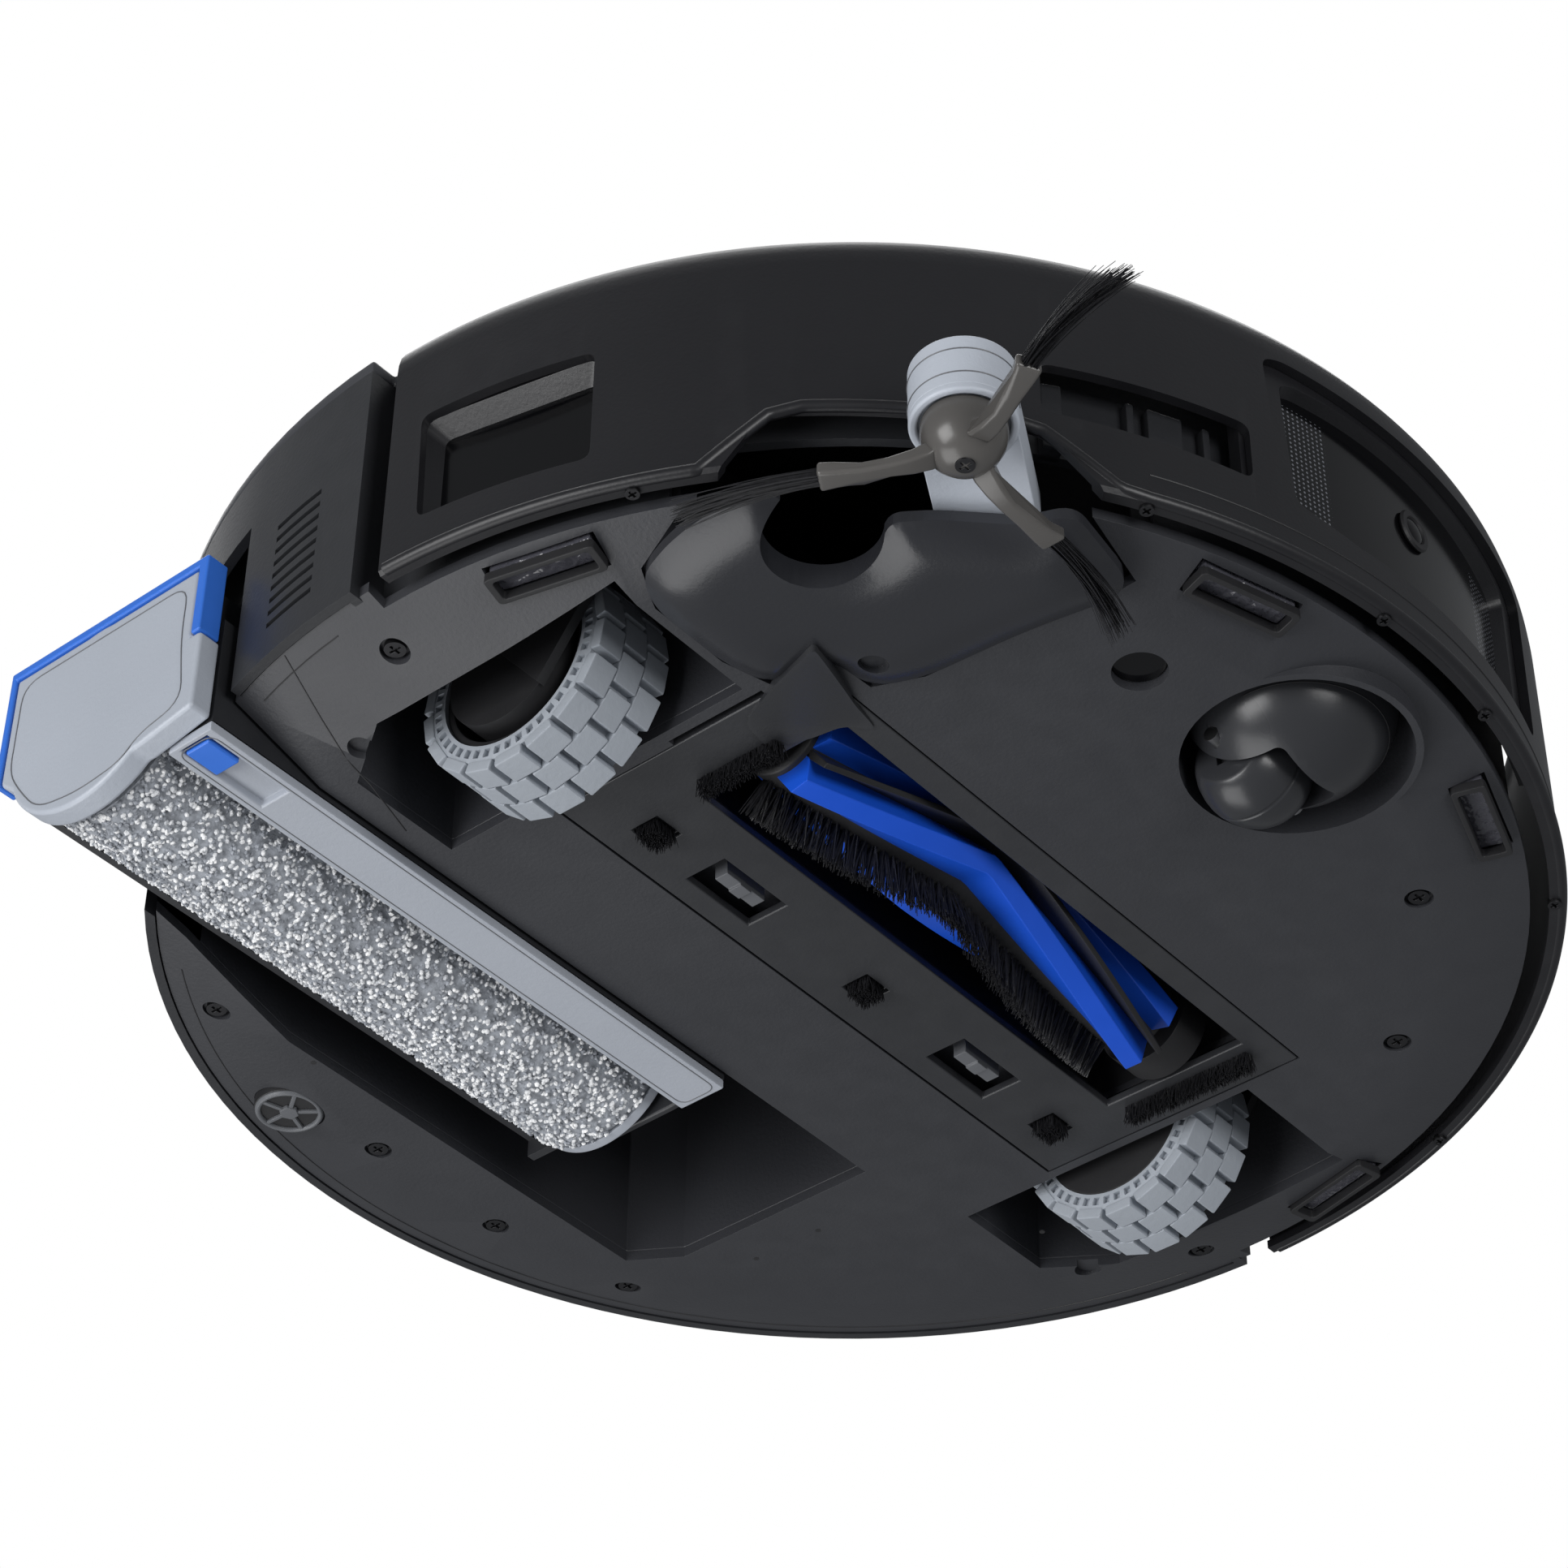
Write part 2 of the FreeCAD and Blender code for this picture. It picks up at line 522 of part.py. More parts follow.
caster_wheel_radius = DIM["caster_wheel_radius"]
roll_y = caster_y + DIM["caster_trail"]
roll_z = caster_wheel_radius - 10.9
HOOD_RADIUS = 25.0
hood_ball = ball("caster_ball", HOOD_RADIUS, (0, caster_y, 17))
hood_drum = rod("caster_drum", "z", HOOD_RADIUS, (0, caster_y), (17, 34))
hood_top = box("caster_top", (-30, 30), (caster_y - 30, caster_y + 30), (34, 60))
stem = rod("caster_stem", "z", 4, (0, caster_y), (33, 43))
wheel_space = rod("caster_wheel_space", "x", caster_wheel_radius + 1.5, (roll_y, roll_z), (-11.5, 11.5))
wheel_exit = box("caster_wheel_exit", (-11.5, 11.5), (roll_y - caster_wheel_radius - 1.5, roll_y + DEEP), (-DEEP, roll_z))
node("caster_hood", fuse("caster_hood_fuse", cut("caster_hood_cut", fuse("caster_hood_solid", hood_ball, hood_drum),
                                                 hood_top, wheel_space, wheel_exit,
                                                 rod("caster_axle_bore", "x", 2, (roll_y, roll_z), (-18, 18))), stem))
node("caster_axle", rod("caster_axle_rod", "x", 2, (roll_y, roll_z), (-17.5, 17.5)))
crown = lathe("caster_roller", [(2.05, -10.5), (9.5, -10.5), (12.2, -6), (caster_wheel_radius, 0), (12.2, 6),
                                (9.5, 10.5), (2.05, 10.5)], 0, roll_y, roll_z, "x")
node("caster_wheel", crown)

# --- Main brush and its guard -----------------------------------------------------

brush_y, brush_z, brush_radius, core_radius = (DIM[k] for k in ("brush_y", "brush_z", "brush_radius", "core_radius"))
BRUSH_SPAN = (-74, 68)
motor_z = brush_z + DIM["motor_drop"]
pulley_radius = DIM["pulley_radius"]
node("brush_core", cut("brush_core_cut", fuse("brush_core_solid",
                                              rod("core_tube", "x", core_radius, (brush_y, brush_z), BRUSH_SPAN),
                                              rod("core_shaft", "x", 4, (brush_y, brush_z), (-93.4, -73))),
                       rod("core_bore", "x", 3.05, (brush_y, brush_z), (57, 69))))


def brush_row(name, angle, inner, outer, thickness, twist):
    """A row along the brush that leans forward to the middle and back again, as a V."""
    radius_mid = (inner + outer) / 2
    rows = []
    for part, (start, stop) in enumerate(((BRUSH_SPAN[0] + 2, -1.5), (-1.5, BRUSH_SPAN[1] - 2))):
        steps = 10
        for i in range(steps):
            share = (i + 0.5) / steps
            lean = twist * (share if part == 0 else 1 - share)
            x_low = start + (stop - start) * i / steps
            x_high = start + (stop - start) * (i + 1) / steps
            block = doc.addObject("Part::Box", f"{name}_{part}_{i}")
            block.Length, block.Width, block.Height = x_high - x_low, thickness, outer - inner
            turn = FreeCAD.Rotation(FreeCAD.Vector(1, 0, 0), angle + lean)
            offset = turn.multVec(FreeCAD.Vector(0, -thickness / 2, radius_mid - (outer - inner) / 2))
            block.Placement = FreeCAD.Placement(vector(x_low, brush_y, brush_z) + offset, turn)
            rows.append(block)
    return rows


blades = [row for k in range(2) for row in brush_row(f"blade_{k}", 180 * k, core_radius.value + 0.05, 20.5, 2.4, 60)]
node("brush_blades", fuse("brush_blades_fuse", *blades))
bristles = [row for k in range(2) for row in brush_row(f"bristle_{k}", 180 * k + 90, core_radius.value + 0.05,
                                                      brush_radius.value, 3.5, 60)]
node("brush_bristles", fuse("brush_bristles_fuse", *bristles))
node("brush_pulley", cut("brush_pulley_cut", rod("brush_pulley_disc", "x", pulley_radius, (brush_y, brush_z), (-93.4, -88)),
                         rod("brush_pulley_bore", "x", 4, (brush_y, brush_z), (-95, -87))))
node("brush_bearing", fuse("brush_bearing_fuse", rod("bearing_cap", "x", 13, (brush_y, brush_z), (70, 80)),
                           rod("bearing_pin", "x", 3, (brush_y, brush_z), (58, 71)),
                           box("bearing_foot", (72, 80), (brush_y - 9, brush_y + 9), (brush_z, brush_z + 25))))
node("brush_motor", rod("brush_motor_can", "x", 12, (brush_y - 2, motor_z), (-84, -34)))
node("motor_pulley", fuse("motor_pulley_fuse", rod("motor_pulley_disc", "x", pulley_radius, (brush_y, motor_z), (-93.4, -88)),
                          rod("motor_shaft", "x", 2, (brush_y, motor_z), (-88, -84.3))))
BELT, SLACK = 1.4, 0.35


def belt_loop(name, grow, x):
    radius = pulley_radius + grow
    return fuse(name, rod(name + "_low", "x", radius, (brush_y, brush_z), x),
                rod(name + "_high", "x", radius, (brush_y, motor_z), x),
                box(name + "_run", x, (brush_y - radius, brush_y + radius), (brush_z, motor_z)))


node("drive_belt", cut("drive_belt_cut", belt_loop("belt_out", SLACK + BELT, (-93, -88.5)),
                       belt_loop("belt_in", SLACK, (-95, -87))))

GUARD_LOW, GUARD_HIGH = 0, 5.0
OPEN_X, OPEN_Y = (-77, 83), (-59, -17)
guard_slab = box("guard_slab", (guard_left, guard_right), (guard_front, guard_rear), (GUARD_LOW, GUARD_HIGH))
guard_lift = box("guard_hollow", (guard_left + 0.8, guard_right - 2.5), (guard_front + 2.5, guard_rear - 2.5), (2.4, 6))
guard_open = box("guard_open", OPEN_X, OPEN_Y, (-2, 6))
LATCHES = {"right": (-56, -33), "left": (37, 60)}
TUFTS = (-74, 5, 81)
latch_pockets = [box(f"latch_pocket_{k}", x, (-6, 6), (-2, 6)) for k, x in LATCHES.items()]
tuft_pockets = [box(f"tuft_pocket_{i}", (x - 4.2, x + 4.2), (-4, 4), (-2, 1.2)) for i, x in enumerate(TUFTS)]
node("brush_guard", cut("brush_guard_cut", guard_slab, guard_lift, guard_open, *latch_pockets, *tuft_pockets))
node("guard_tufts", group("guard_tuft_group", *[
    box(f"tuft_{i}", (x - 4, x + 4), (-3.6, 3.6), (-3, 1.2)) for i, x in enumerate(TUFTS)]))
for hand, (low, high) in LATCHES.items():
    middle = (low + high) / 2
    node(f"{hand}_guard_latch", fuse(f"{hand}_latch_fuse", box(f"{hand}_latch_tab", (middle - 7, middle + 7), (-3, 1), (0.2, 6)),
                                     box(f"{hand}_latch_finger", (middle - 2, middle + 2), (-3, 1), (-0.4, 0.4))))

# --- Side brush -------------------------------------------------------------------

ARM_SPAN = (4.2, 18.5)
arm_line = math.degrees(math.atan2(hub_y.value - arm_y.value, hub_x.value - arm_x.value))
arm_length = math.hypot(hub_x.value - arm_x.value, hub_y.value - arm_y.value)
arm_tip = rod("arm_tip", "z", 12, (hub_x, hub_y), ARM_SPAN)
arm_root = rod("arm_root", "z", 11, (arm_x, arm_y), ARM_SPAN)
arm_beam = turned_box("arm_beam", ((hub_x.value + arm_x.value) / 2, (hub_y.value + arm_y.value) / 2,
                                   (ARM_SPAN[0] + ARM_SPAN[1]) / 2),
                      (arm_length, 22, ARM_SPAN[1] - ARM_SPAN[0]), arm_line)
node("side_arm", cut("side_arm_cut", fuse("side_arm_solid", arm_tip, arm_root, arm_beam),
                     rod("arm_bore", "z", 3.05, (arm_x, arm_y), (0, 30)),
                     rod("hub_bore", "z", 3.05, (hub_x, hub_y), (0, 12)),
                     rod("arm_screw_pocket", "z", 2.2, (-119.5, -131), (0, 5.4))))
node("side_hub", fuse("side_hub_fuse", common("side_dome", ball("side_ball", 9.6, (hub_x, hub_y, 1)),
                                              box("side_dome_limit", (hub_x - 12, hub_x + 12), (hub_y - 12, hub_y + 12), (-9, 3.7))),
                      rod("side_shaft", "z", 3, (hub_x, hub_y), (3, 11.5)),
                      *[turned_box(f"side_rib_{a}", (hub_x + around(19, a)[0], hub_y + around(19, a)[1], -7), (25, 5, 4.5), a)
                        for a in (0, 120, 243)]))
side_bristles = []
for angle in (0, 120, 243):
    tuft = doc.addObject("Part::Cone", f"side_tuft_{angle}")
    tuft.Radius1, tuft.Radius2, tuft.Height = 1.2, 2.8, 37
    start = FreeCAD.Vector(*around(31.6, angle), -8)
    away = FreeCAD.Vector(*around(1, angle), -0.0)
    turn = FreeCAD.Rotation(FreeCAD.Vector(0, 0, 1), away)
    tuft.Placement = FreeCAD.Placement(vector(hub_x, hub_y, 0) + start, turn)
    side_bristles.append(tuft)
node("side_bristles", group("side_bristle_group", *side_bristles))

# --- Bumper -----------------------------------------------------------------------

BUMPER_START, BUMPER_SWEEP = 182, 176
bumper_wall = ring("bumper_wall", body_radius - wall, body_radius, (ramp_rise, rim_high), BUMPER_START, BUMPER_SWEEP)
bumper_ledge = ring("bumper_ledge", front_radius + 4.7, body_radius + 0.9, (ramp_rise - 1.5, ramp_rise + 1),
                    BUMPER_START, BUMPER_SWEEP)
bumper_edge = ring("bumper_edge", front_radius + 4.7, body_radius - 1, (rim_high - 2, rim_high), BUMPER_START, BUMPER_SWEEP)
brush_notch = cut("brush_notch", sector("brush_notch_slice", 190, (0, 23), 211, 25),
                  rod("brush_notch_core", "z", 150, (0, 0), (-1, 24)))
side_hole = cut("side_hole", sector("side_hole_slice", 190, (18, 51), 185, 15),
                rod("side_hole_core", "z", 150, (0, 0), (17, 52)))
vent_hole = cut("vent_hole", sector("vent_hole_slice", 190, (26, 41), 235, 16),
                rod("vent_hole_core", "z", 150, (0, 0), (25, 42)))
front_hole = cut("front_hole", sector("front_hole_slice", 190, (20, 69), 252, 36),
                 rod("front_hole_core", "z", 150, (0, 0), (20, 69)))
node("bumper", cut("bumper_cut", fuse("bumper_solid", bumper_wall, bumper_ledge, bumper_edge),
                   brush_notch, side_hole, vent_hole, front_hole))
node("side_window", ring("side_window_ring", body_radius - wall - 2.2, body_radius - wall, (15, 54), 184, 17))
node("front_window", ring("front_window_ring", body_radius - wall - 2.2, body_radius - wall, (18, 71), 250, 40))

# --- Mop module -------------------------------------------------------------------

roller_y, roller_z, roller_radius = DIM["roller_y"], DIM["roller_z"], DIM["roller_radius"]
low, high = DIM["module_low"], DIM["module_high"]
front = mop_front + 1
PILE = 7.5
POSTS = (-110, -20)
node("mop_slider", fuse("mop_slider_fuse", box("slider_plate", (-130, 0), (front + 1, 108), (mop_roof - 4.5, mop_roof - 1)),
                        *[rod(f"slider_post_{i}", "z", 2.5, (x, front + 4.5), (10, mop_roof - 3)) for i, x in enumerate(POSTS)]))
beam = box("mop_beam", (low + 7, high), (front, front + 9), (-1, 30))
frame_front = box("mop_front_wall", (low + 7, high), (front + 7.5, front + 9), (30, 45.5))
frame_top = box("mop_top_wall", (low + 7, high), (front + 7.5, 117), (43, 45.5))
frame_rear = box("mop_rear_wall", (low + 7, high), (115, 117), (8, 45.5))
frame_end = box("mop_end_wall", (high - 2.5, high), (front, 117), (3, 45.5))
roller_room = rod("mop_roller_room", "x", roller_radius + 0.8, (roller_y, roller_z), (low, high - 2.5))
node("mop_frame", cut("mop_frame_cut", fuse("mop_frame_solid", beam, frame_front, frame_top, frame_rear, frame_end),
                      roller_room, *[rod(f"post_bore_{i}", "z", 2.56, (x, front + 4.5), (-0.9, 40)) for i, x in enumerate(POSTS)]))
cover = box("mop_cover_slab", (low + 6.8, high), (front, front + 14), (-4, -1.2))
node("mop_cover", cut("mop_cover_cut", cover, box("finger_recess", (low + 8, low + 34), (front + 2.5, front + 11), (-5, -2))))
node("mop_tab", box("mop_tab_box", (low + 9, low + 19), (front + 3, front + 10.5), (-4.6, -2.2)))
CAP = (low, low + 6.5)
cap_plate = lengthwise("cap_plate", [(front, -1), (front + 17, -4), (roller_y, -4), (roller_y + 20, 2), (117.5, 10),
                                     (117.5, 43.2), (front + 3.2, 43.2), (front + 3.2, 22), (front, 22)], CAP)
node("mop_end_cap", cut("mop_end_cap_cut", fuse("cap_solid", cap_plate,
                                                rod("cap_round", "x", 27, (roller_y, roller_z), CAP)),
                        rod("cap_bore", "x", 3.05, (roller_y, roller_z), (low + 3, low + 8))))
TRIM = (low - 0.5, low + 6)
node("mop_trim", fuse("mop_trim_fuse", box("trim_top", TRIM, (front, 119), (43.4, 46)),
                      box("trim_front", TRIM, (front, front + 3), (22.2, 43.6)),
                      box("trim_rear", TRIM, (117.6, 119.4), (10, 46))))
core = cut("mop_core_tube", rod("mop_core_out", "x", roller_radius - PILE, (roller_y, roller_z), (low + 8, high - 7)),
           rod("mop_core_in", "x", 13.5, (roller_y, roller_z), (low + 12, high)))
node("mop_core", fuse("mop_core_fuse", core, rod("mop_stub", "x", 3, (roller_y, roller_z), (low + 3.4, low + 9))))
node("mop_pile", cut("mop_pile_cut", rod("mop_pile_out", "x", roller_radius, (roller_y, roller_z), (low + 8.5, high - 7.5)),
                     rod("mop_pile_in", "x", roller_radius - PILE, (roller_y, roller_z), (low + 8, high - 7))))
node("mop_end_disc", cut("mop_end_disc_cut", rod("mop_disc_out", "x", roller_radius - 1.5, (roller_y, roller_z), (high - 7, high - 4)),
                         rod("mop_disc_in", "x", 12.06, (roller_y, roller_z), (high - 8, high))))
node("mop_motor", rod("mop_motor_can", "x", 12, (roller_y, roller_z), (high - 70, high - 2.5)))

# --- Checks and files ---------------------------------------------------------------

doc.recompute()
failed = [item.Name for item in doc.Objects if {"Invalid", "Error"} & set(item.State)]
if failed:
    raise SystemExit(f"these objects failed: {failed}")
os.makedirs("parts", exist_ok=True)
for name, item in nodes.items():
    shape = item.Shape
    if shape.isNull() or not shape.isValid() or shape.Volume <= 0:
        raise SystemExit(f"{name} has no valid solid")
    shape.exportStep(os.path.join("parts", name + ".step"))
    box_ = shape.BoundBox
    print(f"{name:20s} solids {len(shape.Solids):2d}  volume {shape.Volume:10.0f}  "
          f"x {box_.XMin:7.1f} {box_.XMax:7.1f}  y {box_.YMin:7.1f} {box_.YMax:7.1f}  z {box_.ZMin:6.1f} {box_.ZMax:6.1f}")
print(len(nodes), "sub-parts")
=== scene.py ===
# %% [markdown]
# # A robot vacuum, seen from below
# The solid frame of this machine comes from CAD. Here it gets its looks: softened edges, moulded
# plastic, rubber, bristles and a mop of curly fibre. A cell that makes pieces prints what it made.

# %% Load the frame
import bpy
import math
import random
from mathutils import Matrix, Vector


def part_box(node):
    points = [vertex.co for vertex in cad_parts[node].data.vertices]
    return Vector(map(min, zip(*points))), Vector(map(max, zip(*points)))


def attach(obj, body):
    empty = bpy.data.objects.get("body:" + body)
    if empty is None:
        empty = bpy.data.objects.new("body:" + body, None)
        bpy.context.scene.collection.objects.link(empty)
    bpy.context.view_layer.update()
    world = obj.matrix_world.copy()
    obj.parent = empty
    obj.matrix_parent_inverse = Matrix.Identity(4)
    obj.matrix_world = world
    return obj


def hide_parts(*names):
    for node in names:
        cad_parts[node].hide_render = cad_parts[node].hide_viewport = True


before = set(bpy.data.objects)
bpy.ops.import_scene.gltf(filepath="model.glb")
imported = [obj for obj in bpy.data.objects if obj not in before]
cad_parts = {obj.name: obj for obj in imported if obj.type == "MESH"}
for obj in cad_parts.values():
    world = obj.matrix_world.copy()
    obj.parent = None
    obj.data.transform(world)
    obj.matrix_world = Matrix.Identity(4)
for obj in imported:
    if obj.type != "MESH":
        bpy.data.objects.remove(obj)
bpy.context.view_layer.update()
MM = 0.001
SAME_POINT = 0.002 * MM
FLAT_ENOUGH = math.radians(0.6)

# %% [markdown]
# ## Selecting and settling
# An operator works on whatever is selected, and the CAD nodes are selected after loading. So every
# helper starts by deselecting everything, and a finished piece has its place in its mesh.


# %% Helpers for selecting
def clear():
    if bpy.context.object and bpy.context.object.mode == "EDIT":
        bpy.ops.object.mode_set(mode="OBJECT")
    bpy.ops.object.select_all(action="DESELECT")


def pick(*pieces):
    clear()
    for piece in pieces:
        piece.select_set(True)
    bpy.context.view_layer.objects.active = pieces[0]
    return pieces[0]


def named(name):
    piece = bpy.context.object
    piece.name = name
    piece.data.name = name
    bpy.ops.object.transform_apply(location=True, rotation=True, scale=True)
    return piece


def spun(angle, axis):
    """A turn, in degrees, about an axis through the origin."""
    return Matrix.Rotation(math.radians(angle), 4, axis)


def moved(way):
    """A shift in millimetres."""
    return Matrix.Translation(Vector(way) * MM)


def linked(name, data):
    """A new object that shows this data in the scene."""
    piece = bpy.data.objects.new(name, data)
    bpy.context.scene.collection.objects.link(piece)
    return piece


def open_all(piece):
    """Edit mode with everything selected."""
    pick(piece)
    bpy.ops.object.mode_set(mode="EDIT")
    bpy.ops.mesh.select_all(action="SELECT")


def done():
    bpy.ops.object.mode_set(mode="OBJECT")


def outward(piece):
    """Joins points that coincide and makes every face look out."""
    open_all(piece)
    bpy.ops.mesh.remove_doubles(threshold=SAME_POINT)
    bpy.ops.mesh.normals_make_consistent(inside=False)
    done()
    return piece


# %% [markdown]
# ## Starting shapes
# Sizes are given in millimetres. A block, a bar and a flat plate come from a cube, a cylinder and a
# circle. A turned shape is a closed profile carried round an axis, as on a lathe.


# %% Helpers for starting shapes
def about(middle, half):
    """The span from half below the middle to half above it."""
    return middle - half, middle + half


def block(name, x, y, z):
    centre = [(a + b) / 2 * MM for a, b in (x, y, z)]
    clear()
    bpy.ops.mesh.primitive_cube_add(size=1, location=centre, scale=[(b - a) * MM for a, b in (x, y, z)])
    return named(name)


def bar(name, start, end, radius, sides=32):
    a, b = Vector(start) * MM, Vector(end) * MM
    tilt = (b - a).to_track_quat("Z", "Y").to_euler()
    clear()
    bpy.ops.mesh.primitive_cylinder_add(vertices=sides, radius=radius * MM, depth=(b - a).length,
                                        location=(a + b) / 2, rotation=tilt)
    return named(name)


def ball(name, centre, radius, rings=24, scale=(1, 1, 1)):
    clear()
    bpy.ops.mesh.primitive_uv_sphere_add(segments=rings * 2, ring_count=rings, radius=radius * MM,
                                         location=Vector(centre) * MM, scale=scale)
    return named(name)


def profile_ring(name, points, filled):
    """A closed outline of 3-D points, made by moving a circle's own points."""
    clear()
    bpy.ops.mesh.primitive_circle_add(vertices=len(points), fill_type="NGON" if filled else "NOTHING")
    piece = named(name)
    for vertex, point in zip(piece.data.vertices, points):
        vertex.co = Vector(point) * MM
    return piece


def plate(name, outline, low, high, axis="z"):
    """A flat outline pulled up between two levels along an axis."""
    def lift(a, b, level):
        return {"z": (a, b, level), "x": (level, a, b), "y": (a, level, b)}[axis]

    piece = profile_ring(name, [lift(a, b, low) for a, b in outline], True)
    open_all(piece)
    way = Vector(lift(0, 0, (high - low) * MM))
    bpy.ops.mesh.extrude_region_move(TRANSFORM_OT_translate={"value": way})
    done()
    return outward(piece)


def turned(name, profile, centre=(0, 0, 0), axis="z", start=0, sweep=360, steps=96):
    """A closed (radius, height) profile carried round an axis through the centre."""
    cos, sin = math.cos(math.radians(start)), math.sin(math.radians(start))
    if axis == "z":
        points = [(centre[0] + r * cos, centre[1] + r * sin, centre[2] + h) for r, h in profile]
        direction = (0, 0, 1)
    else:
        points = [(centre[0] + h, centre[1] + r * cos, centre[2] + r * sin) for r, h in profile]
        direction = (1, 0, 0)
    piece = profile_ring(name, points, False)
    open_all(piece)
    bpy.ops.mesh.spin(steps=steps, angle=-math.radians(sweep), center=Vector(centre) * MM,
                      axis=direction)
    if sweep < 360:
        bpy.ops.mesh.select_all(action="SELECT")
        bpy.ops.mesh.fill_holes(sides=0)
    done()
    return outward(piece)


def swelling(name, outline, top, depth, cell=2.0):
    """A plate whose lower face swells down by depth(spot, distance from the outline)."""
    piece = plate(name, outline, top, -0.1)
    open_all(piece)
    for axis in (0, 1):
        low = min(point[axis] for point in outline)
        high = max(point[axis] for point in outline)
        for k in range(1, int((high - low) / cell)):
            cut = [0, 0, 0]
            cut[axis] = (low + k * cell) * MM
            normal = [0, 0, 0]
            normal[axis] = 1
            bpy.ops.mesh.select_all(action="SELECT")
            bpy.ops.mesh.bisect(plane_co=cut, plane_no=normal)
    done()
    edges = [(Vector(a), Vector(b)) for a, b in zip(outline, outline[1:] + outline[:1])]
    for vertex in piece.data.vertices:
        if vertex.co.z < 0:
            spot = Vector(vertex.co[:2]) / MM
            away = min(distance_to(spot, a, b) for a, b in edges)
            vertex.co.z -= depth(spot, away) * MM
    return smooth(piece, 60)


def distance_to(spot, a, b):
    along = max(0, min(1, (spot - a).dot(b - a) / max((b - a).length_squared, 1e-9)))
    return (spot - a.lerp(b, along)).length


# %% [markdown]
# ## Cutting, joining and easing edges
# Moulded parts never have sharp edges. A bevel on each edge catches a thin line of light, and
# weighted normals keep the flats looking flat.


# %% Helpers for finishing shapes
def apply(piece, kind, **values):
    pick(piece)
    modifier = piece.modifiers.new(kind.title(), kind)
    for key, value in values.items():
        setattr(modifier, key, value)
    bpy.ops.object.modifier_apply(modifier=modifier.name)
    return piece


def hollow(piece, *tools):
    for tool in tools:
        apply(piece, "BOOLEAN", operation="DIFFERENCE", solver="EXACT", object=tool)
        bpy.data.objects.remove(tool)
    return piece


def joined(name, *pieces):
    pick(*pieces)
    if len(pieces) > 1:
        bpy.ops.object.join()
    return named(name)


def ease(piece, width, segments=2, angle=32):
    apply(piece, "BEVEL", width=width * MM, segments=segments, limit_method="ANGLE",
          angle_limit=math.radians(angle), use_clamp_overlap=True, harden_normals=False)
    return smooth(piece)


def smooth(piece, angle=40):
    pick(piece)
    bpy.ops.object.shade_smooth_by_angle(angle=math.radians(angle))
    return apply(piece, "WEIGHTED_NORMAL", keep_sharp=True)


def soften(node, width, segments=2, angle=32):
    """A copy of a CAD node with eased edges. Its loose triangles are first merged into faces."""
    piece = linked(node + "_soft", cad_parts[node].data.copy())
    piece.data.materials.clear()
    open_all(piece)
    bpy.ops.mesh.remove_doubles(threshold=SAME_POINT)
    bpy.ops.mesh.dissolve_limited(angle_limit=FLAT_ENOUGH)
    bpy.ops.mesh.customdata_custom_splitnormals_clear()
    done()
    if width:
        ease(piece, width, segments, angle)
    else:
        smooth(piece)
    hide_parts(node)
    return piece


def around(radius, angle, centre=(0, 0)):
    """The point at this radius and angle (degrees) about the centre."""
    turn = math.radians(angle)
    return centre[0] + radius * math.cos(turn), centre[1] + radius * math.sin(turn)


def rounded(corners, radius, steps=5):
    """The same outline with its corners rounded."""
    outline = []
    count = len(corners)
    for i, corner in enumerate(corners):
        corner = Vector(corner).to_2d()
        before = Vector(corners[i - 1]).to_2d() - corner
        after = Vector(corners[(i + 1) % count]).to_2d() - corner
        reach = min(radius, before.length * 0.48, after.length * 0.48)
        a, b = corner + before.normalized() * reach, corner + after.normalized() * reach
        for k in range(steps + 1):
            t = k / steps
            outline.append(tuple(a * (1 - t) ** 2 + corner * 2 * t * (1 - t) + b * t ** 2))
    return outline


def copied(piece, name, turn=None, move=None):
    """A copy with its own mesh, turned about a point and an axis, or moved (mm)."""
    twin = linked(name, piece.data.copy())
    if turn:
        angle, axis, point = turn
        there = moved(point)
        twin.data.transform(there @ spun(angle, axis) @ there.inverted())
    if move:
        twin.data.transform(moved(move))
    return twin


def dress(piece, material, body):
    piece.data.materials.clear()
    piece.data.materials.append(material)
    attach(piece, body)
    print(piece.name, len(piece.data.polygons), "faces on", body)
    return piece


# %% [markdown]
# ## Finishes
# Most of the machine is moulded plastic. Real moulded plastic has a fine spark-eroded grain, a slow
# change of gloss across the surface and paler, smoother edges where hands and carpets rub it. Those
# three effects are shader groups, built once and used with different values in each finish.


# %% Shader groups
def group(name, inputs, outputs):
    tree = bpy.data.node_groups.new(name, "ShaderNodeTree")
    for label, kind, value in inputs:
        socket = tree.interface.new_socket(label, in_out="INPUT", socket_type=kind)
        socket.default_value = value
    for label, kind in outputs:
        tree.interface.new_socket(label, in_out="OUTPUT", socket_type=kind)
    return tree, tree.nodes.new("NodeGroupInput"), tree.nodes.new("NodeGroupOutput")


def add(tree, kind, inputs=None, **values):
    """Adds a node, sets its values and joins or fills its inputs."""
    node = tree.nodes.new("ShaderNode" + kind)
    for key, value in values.items():
        setattr(node, key, value)
    for key, value in (inputs or {}).items():
        if isinstance(value, bpy.types.NodeSocket):
            tree.links.new(value, node.inputs[key])
        else:
            node.inputs[key].default_value = value
    return node


def place_in(tree):
    """Object coordinates, so a pattern stays with its piece."""
    return add(tree, "TexCoord").outputs["Object"]


def blank(name):
    """A new material with its node tree and its main shader."""
    material = bpy.data.materials.new(name)
    material.use_nodes = True
    return material, material.node_tree, material.node_tree.nodes["Principled BSDF"]


def scaled(colour, factor):
    """The colour made darker or brighter, with alpha 1."""
    return [min(1, c * factor) for c in colour[:3]] + [1]


def blend(tree, factor, first, second):
    """The mix of two colours."""
    mix = add(tree, "Mix", {"Factor": factor, "A": first, "B": second}, data_type="RGBA")
    return mix.outputs["Result"]


